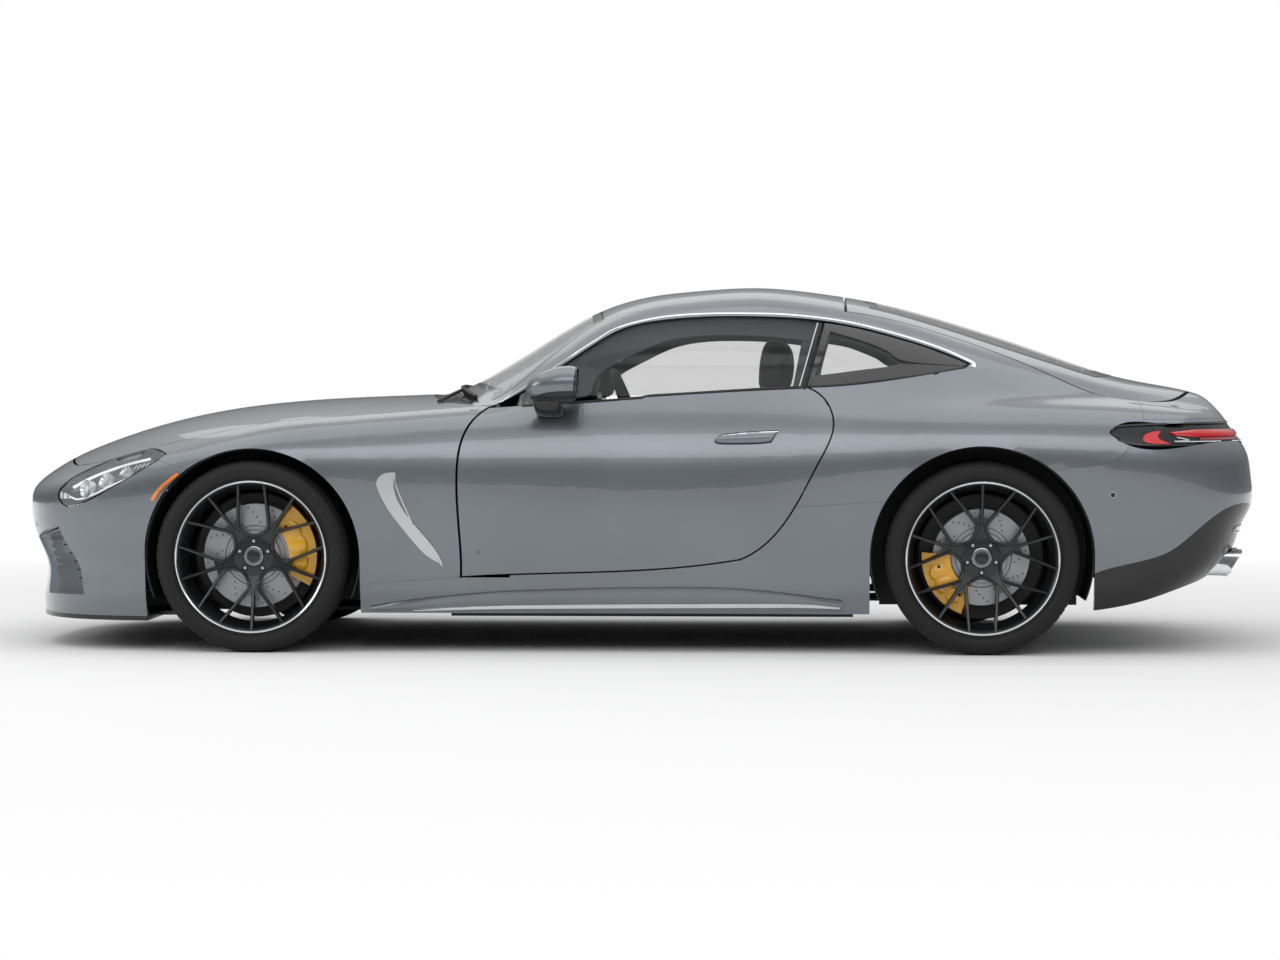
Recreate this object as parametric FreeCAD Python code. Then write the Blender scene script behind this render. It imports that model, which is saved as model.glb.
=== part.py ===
import FreeCAD, Part
import math
import os

os.makedirs("parts", exist_ok=True)

# A two-door coupe with a long bonnet and a fastback tailgate.
# +X runs to the rear, +Y to the car's right and +Z up, in millimetres.
# The origin is on the ground, under the middle of the car.
# Every outer panel is cut from one smooth body form, so neighbours meet along their shut lines.

# Driving dimensions
LENGTH = 4728.0
WIDTH = 1984.0
HEIGHT = 1374.0
WHEELBASE = 2700.0
FRONT_OVERHANG = 965.0
MM = 1.0

# Places that follow from them
NOSE_X = -LENGTH / 2
TAIL_X = LENGTH / 2
HALF_WIDTH = WIDTH / 2
FRONT_AXLE_X = NOSE_X + FRONT_OVERHANG
REAR_AXLE_X = FRONT_AXLE_X + WHEELBASE

# Gaps and thicknesses of the panels
SHUT_GAP = 6.0
FIXED_SEAM = 0.8
SKIN = 12.0
FENDER_WALL = 14.0
HOOD_WALL = 26.0
DOOR_WALL = 95.0
SIDE_WALL = 42.0
ROOF_WALL = 28.0
TAILGATE_WALL = 30.0
BUMPER_WALL = 32.0
GLASS_WALL = 6.0
GLASS_SET_BACK = 6.0
OVERRUN = 400.0
FIT_GAP = 0.3
RUN_GAP = 0.05

# Wheels and tyres
ROLL_RADIUS = 355.0
TYRE_WIDTH_FRONT = 290.0
TYRE_WIDTH_REAR = 300.0
RING_REACH_FRONT = 955.0
RING_REACH_REAR = 965.0
RIM_RADIUS = 284.0
RIM_WALL = 9.0
FRONT_ARCH_RADIUS = 402.0
REAR_ARCH_RADIUS = 412.0


# Curves and smooth joins of the body form
class Curve:
    """A natural cubic spline through hand-picked (place, value) shares."""

    def __init__(self, shares):
        self.at = [p[0] for p in shares]
        self.value = [p[1] for p in shares]
        count = len(shares)
        self.bend = [0.0] * count
        lower = [0.0] * count
        for i in range(1, count - 1):
            left = self.at[i] - self.at[i - 1]
            right = self.at[i + 1] - self.at[i]
            share = left / (left + right)
            pivot = share * self.bend[i - 1] + 2
            rise = (self.value[i + 1] - self.value[i]) / right
            rise -= (self.value[i] - self.value[i - 1]) / left
            self.bend[i] = (share - 1) / pivot
            lower[i] = (6 * rise / (left + right) - share * lower[i - 1]) / pivot
        for i in range(count - 2, -1, -1):
            self.bend[i] = self.bend[i] * self.bend[i + 1] + lower[i]

    def __call__(self, place):
        at = self.at
        last = len(at) - 1
        place = min(max(place, at[0]), at[last])
        low, high = 0, last
        while high - low > 1:
            middle = (low + high) // 2
            if at[middle] > place:
                high = middle
            else:
                low = middle
        span = at[high] - at[low]
        a = (at[high] - place) / span
        b = (place - at[low]) / span
        line = a * self.value[low] + b * self.value[high]
        curl = (a ** 3 - a) * self.bend[low] + (b ** 3 - b) * self.bend[high]
        return line + curl * span * span / 6


def smooth_max(a, b, blend):
    part = max(blend - abs(a - b), 0.0) / blend
    return max(a, b) + part ** 3 * blend / 6


def smooth_min(a, b, blend):
    return -smooth_max(-a, -b, blend)


# Centre lines: share of the length from the nose, share of the height
BODY_TOP = Curve([(0.0, 0.446), (0.0231, 0.503), (0.0565, 0.558), (0.0899, 0.598), (0.136, 0.639),
                  (0.2164, 0.677), (0.2978, 0.692), (0.3443, 0.697), (0.5, 0.700), (0.7, 0.708),
                  (0.8, 0.708), (0.9, 0.700), (0.955, 0.676), (1.0, 0.64)])
CABIN_TOP = Curve([(0.30, 0.585), (0.357, 0.709), (0.3991, 0.795), (0.4327, 0.866), (0.4664, 0.930),
                   (0.5, 0.969), (0.5503, 0.992), (0.6005, 1.0), (0.6506, 0.984), (0.7005, 0.9545),
                   (0.7504, 0.909), (0.8003, 0.855), (0.8503, 0.795), (0.8835, 0.7565),
                   (0.9241, 0.724), (0.9497, 0.705), (0.9653, 0.686), (1.0, 0.64)])
# How far the top falls from the centre line to three quarters of the half width, as shares of the height
BODY_CROWN = Curve([(0.0, 0.085), (0.056, 0.080), (0.1533, 0.071), (0.2139, 0.056), (0.2699, 0.051),
                    (0.3848, 0.036), (0.5, 0.025), (0.775, 0.02), (0.9, 0.03), (1.0, 0.03)])
CABIN_CROWN = Curve([(0.30, 0.13), (0.42, 0.12), (0.50, 0.085), (0.60, 0.075), (0.70, 0.085),
                     (0.80, 0.085), (0.90, 0.04), (0.95, 0.022), (1.0, 0.02)])
CROWN_REACH_SHARE = 0.766
# Half widths at the widest level and at the waist, as shares of half the width
BODY_PLAN = Curve([(0.0, 0.925), (0.056, 0.950), (0.12, 0.965), (0.204, 0.968), (0.267, 0.962),
                   (0.352, 0.950), (0.458, 0.938), (0.542, 0.936), (0.627, 0.942), (0.711, 0.953),
                   (0.775, 0.960), (0.86, 0.958), (0.923, 0.945), (0.965, 0.925), (1.0, 0.90)])
CABIN_PLAN = Curve([(0.30, 0.74), (0.352, 0.775), (0.4365, 0.822), (0.5423, 0.842), (0.648, 0.842),
                    (0.7115, 0.832), (0.775, 0.806), (0.86, 0.72), (0.944, 0.60), (1.0, 0.52)])
# How far the side lies inside its widest level: share of the height, share of half the width
BODY_TUCK = Curve([(0.06, 0.085), (0.12, 0.058), (0.17, 0.036), (0.22, 0.030), (0.30, 0.014),
                   (0.38, 0.003), (0.45, 0.0), (0.52, 0.006), (0.58, 0.026), (0.64, 0.060),
                   (0.69, 0.108), (0.78, 0.20)])
CABIN_TUCK = Curve([(0.55, -0.06), (0.69, 0.0), (0.80, 0.088), (0.90, 0.190), (0.95, 0.252), (1.05, 0.40)])
# How far the ends lie inside the bumper tips: share of the height, share of the height
NOSE_TUCK = Curve([(0.05, 0.036), (0.13, 0.030), (0.22, 0.042), (0.29, 0.018), (0.36, 0.0),
                   (0.44, 0.003), (0.51, 0.022), (0.60, 0.09), (0.75, 0.28)])
TAIL_TUCK = Curve([(0.05, 0.30), (0.12, 0.235), (0.22, 0.10), (0.30, 0.045), (0.34, 0.032),
                   (0.39, 0.006), (0.42, 0.0), (0.48, 0.006), (0.53, 0.014), (0.59, 0.047),
                   (0.63, 0.076), (0.68, 0.118), (0.75, 0.19)])
# The arches swell the side over each axle: share of the length, share of half the width
FENDER_SWELL = Curve([(0.0, 0.0), (0.10, 0.002), (0.204, 0.014), (0.30, 0.004), (0.40, 0.0), (0.60, 0.0),
                      (0.70, 0.022), (0.79, 0.040), (0.88, 0.022), (0.97, 0.004), (1.0, 0.0)])
SWELL_LEVEL_SHARE = 0.60
SWELL_SPAN_SHARE = 0.16
# Joins between the faces of the form
SHOULDER_BLEND = 170.0
ROOF_EDGE_BLEND = 210.0
WAIST_BLEND = 90.0
NOSE_CORNER_BLEND = 820.0
TAIL_CORNER_BLEND = 520.0
HOOD_LIP_BLEND = 60.0
TAIL_LIP_BLEND = 34.0
CABIN_START_SHARE = 0.30
NOSE_BOW_SHARE = 0.113
TAIL_BOW_SHARE = 0.0709


def form(x, y, z):
    """Signed measure of a point against the car's outer form, below zero inside."""
    along = (x - NOSE_X) / LENGTH
    up = z / HEIGHT
    across = abs(y)
    reach = across / HALF_WIDTH
    fall = (reach / CROWN_REACH_SHARE) ** 2
    swell = math.exp(-((up - SWELL_LEVEL_SHARE) / SWELL_SPAN_SHARE) ** 2)
    width = BODY_PLAN(along) - BODY_TUCK(up) + FENDER_SWELL(along) * swell
    side = across - HALF_WIDTH * width
    top = z - HEIGHT * (BODY_TOP(along) - BODY_CROWN(along) * fall)
    body = smooth_max(top, side, SHOULDER_BLEND)
    if along > CABIN_START_SHARE:
        cabin_side = across - HALF_WIDTH * (CABIN_PLAN(along) - CABIN_TUCK(up))
        cabin_top = z - HEIGHT * (CABIN_TOP(along) - CABIN_CROWN(along) * fall)
        body = smooth_min(body, smooth_max(cabin_top, cabin_side, ROOF_EDGE_BLEND), WAIST_BLEND)
        rear = x - (TAIL_X - HEIGHT * TAIL_TUCK(up) - HALF_WIDTH * TAIL_BOW_SHARE * reach * reach)
        lower = smooth_max(body, rear, TAIL_LIP_BLEND)
        return smooth_max(lower, smooth_max(side, rear, TAIL_CORNER_BLEND), TAIL_LIP_BLEND)
    front = NOSE_X + HEIGHT * NOSE_TUCK(up) + HALF_WIDTH * NOSE_BOW_SHARE * reach * reach - x
    corner = smooth_max(side, front, NOSE_CORNER_BLEND)
    return smooth_max(body, corner, HOOD_LIP_BLEND)

# Sampling the form into solids
RAY_STEP = 60.0
RAY_HALVINGS = 20
SLOPE_STEP = 1.0
SIDE_AXIS_Y = 250.0
SIDE_AXIS_Z = 700.0
BUMPER_AXIS_X = 1700.0


def leave_form(start, way):
    """The point where a ray from inside the car leaves its form."""
    near, far = 0.0, RAY_STEP
    while form(start[0] + way[0] * far, start[1] + way[1] * far, start[2] + way[2] * far) < 0:
        near = far
        far += RAY_STEP
    for _ in range(RAY_HALVINGS):
        middle = (near + far) / 2
        inside = form(start[0] + way[0] * middle, start[1] + way[1] * middle, start[2] + way[2] * middle) < 0
        near, far = (middle, far) if inside else (near, middle)
    return FreeCAD.Vector(*[start[i] + way[i] * near for i in range(3)])


def outward(p):
    """The form's outward normal at a point."""
    step = SLOPE_STEP
    slope = FreeCAD.Vector(form(p.x + step, p.y, p.z) - form(p.x - step, p.y, p.z),
                           form(p.x, p.y + step, p.z) - form(p.x, p.y - step, p.z),
                           form(p.x, p.y, p.z + step) - form(p.x, p.y, p.z - step))
    return slope.normalize()


def spread(low, high, count):
    return [low + (high - low) * i / (count - 1) for i in range(count)]


def side_points(x_low, x_high, low_deg, high_deg, columns, rows):
    """Points on the right side, fanned about a line inside the car."""
    grid = []
    for x in spread(x_low, x_high, columns):
        turns = [math.radians(turn) for turn in spread(low_deg, high_deg, rows)]
        grid.append([leave_form((x, SIDE_AXIS_Y, SIDE_AXIS_Z), (0, math.cos(t), math.sin(t))) for t in turns])
    return grid


def top_points(x_low, x_high, reach, columns, rows):
    """Points on the upper side, straight above a grid in plan."""
    lift = HEIGHT * LIFT_START_SHARE
    return [[leave_form((x, y, lift), (0, 0, 1)) for y in spread(-reach, reach, rows)]
            for x in spread(x_low, x_high, columns)]


LIFT_START_SHARE = 0.36


def end_points(sign, z_middle, low_deg, high_deg, low_tilt, high_tilt, columns, rows):
    """Points round one end of the car, fanned about a point inside it, front -1 or rear 1."""
    grid = []
    for turn in [math.radians(t) for t in spread(low_deg, high_deg, columns)]:
        start = (sign * BUMPER_AXIS_X, 0, z_middle)
        tilts = [math.radians(t) for t in spread(low_tilt, high_tilt, rows)]
        grid.append([leave_form(start, (sign * math.cos(turn) * math.cos(t), math.sin(turn) * math.cos(t),
                                        math.sin(t))) for t in tilts])
    return grid


def surface(grid):
    face = Part.BSplineSurface()
    face.interpolate(grid)
    return face.toShape()


def flat_backed(grid, wall):
    """A solid sheet whose inner face is its outer face moved straight inwards."""
    return surface(grid).extrude(FreeCAD.Vector(0, -wall, 0))


def panel(grid, wall, set_back=0.0):
    """A solid sheet that follows sampled points, its wall built inwards."""
    normals = [[outward(p) for p in row] for row in grid]
    outer = [[p - n * set_back for p, n in zip(row, turns)] for row, turns in zip(grid, normals)]
    inner = [[p - n * (set_back + wall) for p, n in zip(row, turns)] for row, turns in zip(grid, normals)]
    front = surface(outer)
    back = surface(inner)
    rims = [Part.makeRuledSurface(a, b) for a, b in zip(front.Edges, back.Edges)]
    solid = Part.makeSolid(Part.makeShell([front, back] + rims))
    if solid.Volume < 0:
        solid.reverse()
    return solid


# Outlines, as shares of the length from the nose and shares of the height
def side_place(share):
    return FreeCAD.Vector(NOSE_X + share[0] * LENGTH, 0, share[1] * HEIGHT)


def plan_place(share):
    return FreeCAD.Vector(NOSE_X + share[0] * LENGTH, share[1] * HALF_WIDTH, 0)


def front_place(share):
    return FreeCAD.Vector(0, share[0] * HALF_WIDTH, share[1] * HEIGHT)


def stretch_curve(points):
    if len(points) == 2:
        return Part.LineSegment(points[0], points[1])
    curve = Part.BSplineCurve()
    curve.interpolate(points)
    return curve


def travel(points):
    """The direction of travel along a stretch at each of its points."""
    curve = stretch_curve(points)
    return [curve.tangent(curve.parameter(p))[0] for p in points]


def moved_outline(stretches, grow):
    """The outline moved outwards by a distance, each corner to where its two sides then meet."""
    corners = [p for points in stretches for p in points[:-1]]
    flat = FreeCAD.Vector()
    for a, b in zip(corners, corners[1:] + corners[:1]):
        flat = flat + a.cross(b)
    flat.normalize()
    sides = [[way.cross(flat) for way in travel(points)] for points in stretches]
    moved = []
    for k, points in enumerate(stretches):
        before = sides[k - 1][-1]
        corner = points[0] + (sides[k][0] + before) * (grow / (1 + sides[k][0].dot(before)))
        moved.append([corner] + [p + side * grow for p, side in zip(points[1:-1], sides[k][1:-1])])
    return [points + [after[0]] for points, after in zip(moved, moved[1:] + moved[:1])]


def closed_face(place, stretches, grow=0.0):
    """A flat face from stretches, each a line of two points or a curve of more."""
    outline = [[place(share) for share in stretch] for stretch in stretches]
    if grow:
        outline = moved_outline(outline, grow)
    return Part.Face(Part.Wire([stretch_curve(points).toShape() for points in outline]))


def side_prism(stretches, grow=0.0):
    """The space right across the car behind an outline in side view."""
    face = closed_face(side_place, stretches, grow)
    face.translate(FreeCAD.Vector(0, -WIDTH, 0))
    return face.extrude(FreeCAD.Vector(0, 2 * WIDTH, 0))


def plan_prism(stretches, grow=0.0):
    """The space above and below an outline in plan."""
    return closed_face(plan_place, stretches, grow).extrude(FreeCAD.Vector(0, 0, HEIGHT * 2))


def front_prism(stretches, x_low, x_high, grow=0.0):
    """The space behind an outline in front view, between two stations."""
    face = closed_face(front_place, stretches, grow)
    face.translate(FreeCAD.Vector(x_low, 0, 0))
    return face.extrude(FreeCAD.Vector(x_high - x_low, 0, 0))


def mirrored(shape):
    return shape.mirror(FreeCAD.Vector(0, 0, 0), FreeCAD.Vector(0, 1, 0))


def both_sides(shape):
    return Part.makeCompound(shape.Solids + mirrored(shape).Solids)


def tube(radius, length, x, y, z, way):
    return Part.makeCylinder(radius, length, FreeCAD.Vector(x, y, z), way)


def block(x_low, x_high, y_low, y_high, z_low, z_high):
    corner = FreeCAD.Vector(x_low, y_low, z_low)
    return Part.makeBox(x_high - x_low, y_high - y_low, z_high - z_low, corner)


X_WAY = FreeCAD.Vector(1, 0, 0)
Y_WAY = FreeCAD.Vector(0, 1, 0)
Z_WAY = FreeCAD.Vector(0, 0, 1)


def save(name, shape):
    solids = shape.Solids
    good = all(s.isValid() and s.isClosed() for s in solids)
    box = shape.BoundBox
    print(name, len(solids), "sound" if good else "UNSOUND", round(sum(s.Volume for s in solids) / 1e6, 2),
          [round(v) for v in (box.XMin, box.XMax, box.YMin, box.YMax, box.ZMin, box.ZMax)])
    if len(solids) == 1:
        shape = solids[0]
    shape.exportStep("parts/" + name + ".step")


# Outlines of the panels in side view
DOOR_FRONT = [(0.3880, 0.6609), (0.3701, 0.5834), (0.3656, 0.4897), (0.3671, 0.3368), (0.3682, 0.2040)]
DOOR_BOTTOM = [DOOR_FRONT[-1], (0.4477, 0.2151), (0.5397, 0.2309), (0.5872, 0.2527)]
DOOR_REAR = [DOOR_BOTTOM[-1], (0.6105, 0.3064), (0.6298, 0.3947), (0.6492, 0.5202), (0.6598, 0.6238),
             (0.6571, 0.6600), (0.6395, 0.7140)]
DOOR_WAIST = [DOOR_REAR[-1], (0.6007, 0.7082), (0.4759, 0.6817), DOOR_FRONT[0]]
DOOR = [DOOR_FRONT, DOOR_BOTTOM, DOOR_REAR, DOOR_WAIST]

GLASS_TOP = [DOOR_FRONT[0], (0.4212, 0.7217), (0.4690, 0.8316), (0.4904, 0.8740), (0.5221, 0.9000),
             (0.5544, 0.9095), (0.5906, 0.9108), (0.6289, 0.9060), (0.6717, 0.8870), (0.7139, 0.8500),
             (0.7454, 0.8140), (0.7680, 0.7800)]
GLASS_TAIL = [GLASS_TOP[-1], (0.7640, 0.7668)]
QUARTER_WAIST = [GLASS_TAIL[-1], (0.7133, 0.7379), (0.6713, 0.7198), DOOR_REAR[-1]]
SIDE_GLASS = [GLASS_TOP, GLASS_TAIL, QUARTER_WAIST, DOOR_WAIST]
DIVIDER_TOP = (0.6560, 0.9300)
DIVIDER_LOW = (0.6367, 0.6900)
GLASS_FORE = [DIVIDER_TOP, DIVIDER_LOW]
FORE_CORNERS = [(0.36, 0.6900), (0.36, 0.9300)]

ARCH_LOW_SHARE = 0.05
SILL_TOP = [(0.2750, 0.1800), DOOR_FRONT[-1]]
SILL_REAR = [DOOR_BOTTOM[-1], (0.6105, 0.3064), (0.6298, 0.3947)]
SILL_SEAM = [SILL_REAR[-1], (0.7050, 0.4105)]
SILL_FOOT_SHARE = 0.105

LAMP_SEAM = [(0.1334, 0.5156), (0.1561, 0.4925)]
LAMP_TOP = [(0.1356, 0.5354), (0.1195, 0.5489), (0.0981, 0.5336), (0.0767, 0.5044), (0.0584, 0.4716),
            (0.0463, 0.4360)]
LAMP_NOSE = [LAMP_TOP[-1], (0.0455, 0.4160), (0.0540, 0.3892)]
LAMP_LOW = [LAMP_NOSE[-1], (0.0679, 0.4002), (0.0873, 0.4316), (0.1087, 0.4734), (0.1281, 0.5136)]
LAMP_TIP = [LAMP_LOW[-1], LAMP_TOP[0]]
HEADLAMP = [LAMP_TOP, LAMP_NOSE, LAMP_LOW, LAMP_TIP]

TAIL_LAMP_TOP = [(0.8724, 0.5945), (0.8797, 0.6143), (0.9120, 0.6190), (0.9434, 0.6213), (0.985, 0.6255)]
TAIL_LAMP_END = [TAIL_LAMP_TOP[-1], (0.985, 0.5640)]
TAIL_LAMP_LOW = [TAIL_LAMP_END[-1], (0.9381, 0.5599), (0.8884, 0.5597), TAIL_LAMP_TOP[0]]
TAIL_LAMP = [TAIL_LAMP_TOP, TAIL_LAMP_END, TAIL_LAMP_LOW]
REAR_SEAM = [(0.8884, 0.5597), (0.8793, 0.5287), (0.8501, 0.5021), (0.8250, 0.4871)]

DIFFUSER_TOP = [(0.8540, 0.2050), (0.9048, 0.2569), (0.9204, 0.2772), (0.9355, 0.3157), (0.9486, 0.3534),
                (0.9594, 0.3800), (1.0, 0.3850)]

# Outlines of the panels in plan
HOOD_SIDE = [(0.3848, 0.745), (0.32, 0.762), (0.24, 0.775), (0.16, 0.775), (0.110, 0.765), (0.078, 0.735),
             (0.058, 0.66), (0.045, 0.52), (0.037, 0.34), (0.032, 0.17), (0.031, 0.0)]
HOOD_REAR = [(0.330, 0.0), (0.3355, 0.30), (0.352, 0.56), HOOD_SIDE[0]]
SCREEN_TOP = [(0.470, 0.0), (0.4715, 0.22), (0.4765, 0.50)]
SCREEN_SIDE = [SCREEN_TOP[-1], (0.440, 0.590), (0.405, 0.670), (0.3820, 0.712)]
SCREEN_FOOT = [SCREEN_SIDE[-1], (0.3655, 0.58), (0.3520, 0.32), (0.3475, 0.0)]
ROOF_SIDE = [SCREEN_TOP[-1], (0.53, 0.545), (0.60, 0.556), (0.6693, 0.545)]
ROOF_REAR = [ROOF_SIDE[-1], (0.6693, 0.0)]
TAILGATE_SIDE = [ROOF_SIDE[-1], (0.7398, 0.555), (0.7932, 0.600), (0.8373, 0.665), (0.880, 0.700), (0.9050, 0.690)]
TAILGATE_REAR = [TAILGATE_SIDE[-1], (0.9330, 0.60), (0.9480, 0.36), (0.9540, 0.0)]
REAR_GLASS_SIDE = [(0.6900, 0.44), (0.7400, 0.460), (0.80, 0.50), (0.8700, 0.545)]
REAR_GLASS_END = [REAR_GLASS_SIDE[-1], (0.8880, 0.30), (0.8930, 0.0)]
REAR_GLASS_START = [(0.6870, 0.0), (0.6875, 0.22), REAR_GLASS_SIDE[0]]


def whole_plan(*halves):
    """A plan outline closed by its own mirror image about the middle of the car."""
    stretches = [list(half) for half in halves]
    other = [[(x, -y) for x, y in reversed(half)] for half in reversed(stretches)]
    return stretches + other


HOOD_PLAN = whole_plan(HOOD_REAR, HOOD_SIDE)
SCREEN_PLAN = whole_plan(SCREEN_TOP, SCREEN_SIDE, SCREEN_FOOT)
ROOF_PLAN = whole_plan(SCREEN_TOP, ROOF_SIDE, ROOF_REAR)
TAILGATE_PLAN = whole_plan(list(reversed(ROOF_REAR)), TAILGATE_SIDE, TAILGATE_REAR)
REAR_GLASS_PLAN = whole_plan(REAR_GLASS_START, REAR_GLASS_SIDE, REAR_GLASS_END)
HALF_GAP = SHUT_GAP / 2
HALF_SEAM = FIXED_SEAM / 2


def arch(axle_x, radius):
    """The space of one wheel arch on the right side, with its open foot."""
    start = HALF_WIDTH * ARCH_INNER_SHARE
    round_part = tube(radius, WIDTH, axle_x, start, ROLL_RADIUS, Y_WAY)
    foot = block(axle_x - radius, axle_x + radius, start, start + WIDTH, -radius, ROLL_RADIUS)
    return round_part.fuse(foot).removeSplitter()


ARCH_INNER_SHARE = 0.55
FRONT_ARCH = arch(FRONT_AXLE_X, FRONT_ARCH_RADIUS)
REAR_ARCH = arch(REAR_AXLE_X, REAR_ARCH_RADIUS)
DOOR_HOLE = side_prism(DOOR, HALF_GAP)
GLASS_HOLE = side_prism(SIDE_GLASS, HALF_SEAM)
LAMP_HOLE = side_prism(HEADLAMP, HALF_SEAM)
TAIL_LAMP_HOLE = side_prism(TAIL_LAMP, HALF_SEAM)
HOOD_HOLE = plan_prism(HOOD_PLAN, HALF_GAP)
SCREEN_HOLE = plan_prism(SCREEN_PLAN, HALF_SEAM)
ROOF_HOLE = plan_prism(ROOF_PLAN, HALF_SEAM)
TAILGATE_HOLE = plan_prism(TAILGATE_PLAN, HALF_GAP)
COWL_PLAN = whole_plan(HOOD_REAR, [HOOD_SIDE[0], SCREEN_SIDE[-1]], SCREEN_FOOT)
COWL_HOLE = plan_prism(COWL_PLAN, HALF_SEAM)


# Closed regions in side view, from the lines above
def region(corners, *stretches):
    """Joins stretches and straight runs through extra corners into one outline."""
    joined = list(stretches)
    tail = [stretches[-1][-1]] + corners + [stretches[0][0]]
    joined += [[a, b] for a, b in zip(tail, tail[1:]) if a != b]
    return joined


OVER_LAMP = [(0.112, 0.53), (0.112, 0.75)]
FENDER_AREA = region([(0.20, 0.1800), (0.20, 0.44), LAMP_SEAM[1], LAMP_SEAM[0], OVER_LAMP[0], OVER_LAMP[1],
                      (DOOR_FRONT[0][0], 0.75)], DOOR_FRONT, SILL_TOP[::-1])
BEHIND_LAMP = region([(0.20, 0.44), (0.20, 0.75), OVER_LAMP[1], OVER_LAMP[0]], LAMP_SEAM)
SILL_AREA = region([(SILL_SEAM[-1][0], SILL_FOOT_SHARE), (0.27, SILL_FOOT_SHARE), SILL_TOP[0]],
                   SILL_TOP, DOOR_BOTTOM, SILL_REAR, SILL_SEAM)
REAR_AREA = region([(0.80, 0.02), (1.02, 0.02), (1.02, 0.80), (0.9, 0.80), (0.9, 0.5597)], REAR_SEAM)


# The panels
def station(share):
    return NOSE_X + share * LENGTH


def level(share):
    return share * HEIGHT


def largest(shape):
    return max(shape.Solids, key=lambda s: s.Volume)


FENDER_GRID = side_points(station(0.105), station(0.395), -36, 66, 22, 22)


def front_fender():
    skin = panel(FENDER_GRID, FENDER_WALL)
    part = skin.common(side_prism(FENDER_AREA, -HALF_SEAM))
    part = part.cut(FRONT_ARCH).cut(HOOD_HOLE).cut(DOOR_HOLE).cut(LAMP_HOLE)
    inner = block(station(0.34), station(0.40), 0, HALF_WIDTH * FENDER_INNER_SHARE, 0, HEIGHT)
    return largest(part.cut(inner))


FENDER_INNER_SHARE = 0.745


HINGE_X = -555.0
HINGE_Y = 905.0
HINGE_PIN = 8.0
HINGE_LEVELS = (430.0, 680.0)
HINGE_HEIGHT = 60.0
HINGE_POCKET = 60.0
PILLAR_OUTER = 770.0
DOOR_INNER_Y = 782.0
DOOR_STEP_Y = 855.0
DOOR_FRONT_SLIDE = 2.5
DOOR_REAR_SLIDE = 6.0
DOOR_LIFT = 8.0
DOOR_BULK = flat_backed(side_points(station(0.35), station(0.675), -36, 30, 24, 16), DOOR_WALL)


def door():
    """A door as thick as the whole wall, with pockets and bores for its two hinges."""
    outline = side_prism(DOOR, -HALF_GAP)
    part = DOOR_BULK.common(outline).common(slid(outline, DOOR_FRONT_SLIDE))
    part = part.cut(block(NOSE_X, TAIL_X, 0, DOOR_INNER_Y, 0, HEIGHT))
    inner = block(NOSE_X, TAIL_X, 0, DOOR_STEP_Y, 0, HEIGHT)
    part = part.cut(inner.cut(slid(outline, -DOOR_REAR_SLIDE, DOOR_LIFT)))
    for z in HINGE_LEVELS:
        pocket = block(HINGE_X - OVERRUN, HINGE_X + HINGE_PIN * 2, 0, HINGE_Y + HINGE_PIN,
                       z - HINGE_HEIGHT / 2, z + HINGE_HEIGHT / 2)
        part = part.cut(pocket)
        bore = tube(HINGE_PIN + RUN_GAP, 2 * HINGE_HEIGHT, HINGE_X, HINGE_Y, z - HINGE_HEIGHT, Z_WAY)
        part = part.cut(bore)
    return largest(part)


def hinge_pillar():
    """The post in front of the door, with an arm and an upright pin at each hinge."""
    post = block(HINGE_X - HINGE_POCKET, HINGE_X + HINGE_PIN, PILLAR_OUTER - PILLAR_WALL, PILLAR_OUTER,
                 PAN_LOW + PAN_WALL, PILLAR_TOP)
    part = post
    for z in HINGE_LEVELS:
        low = z - HINGE_HEIGHT / 2 + HINGE_GAP
        high = z + HINGE_HEIGHT / 2 - HINGE_GAP
        part = part.fuse(block(HINGE_X - HINGE_PIN, HINGE_X + HINGE_PIN, PILLAR_OUTER, HINGE_Y, low, high))
        part = part.fuse(tube(HINGE_PIN, 2 * HINGE_HEIGHT - HINGE_GAP, HINGE_X, HINGE_Y,
                              z - HINGE_HEIGHT + HINGE_GAP / 2, Z_WAY))
    return largest(part.removeSplitter())


PILLAR_WALL = 45.0
PILLAR_TOP = 800.0
HINGE_GAP = 6.0


def sill():
    skin = flat_backed(side_points(station(0.26), station(0.715), -43, -10, 26, 12), 2 * SILL_WALL)
    part = skin.common(side_prism(SILL_AREA, -HALF_SEAM)).cut(DOOR_HOLE)
    part = part.cut(block(NOSE_X, TAIL_X, 0, FLOOR_REACH, 0, HEIGHT))
    part = part.cut(block(SILL_DIP_FRONT, SILL_DIP_REAR, 0, SILL_DIP_REACH, SILL_DIP_LEVEL, HEIGHT))
    return largest(part.cut(FRONT_ARCH).cut(REAR_ARCH))


# The dip under the door's foot, which swings over it.
SILL_DIP_FRONT = -640.0
SILL_DIP_REAR = -440.0
SILL_DIP_REACH = 912.0
SILL_DIP_LEVEL = 278.5
SILL_WALL = 120.0
FLOOR_REACH = 780.0


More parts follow.
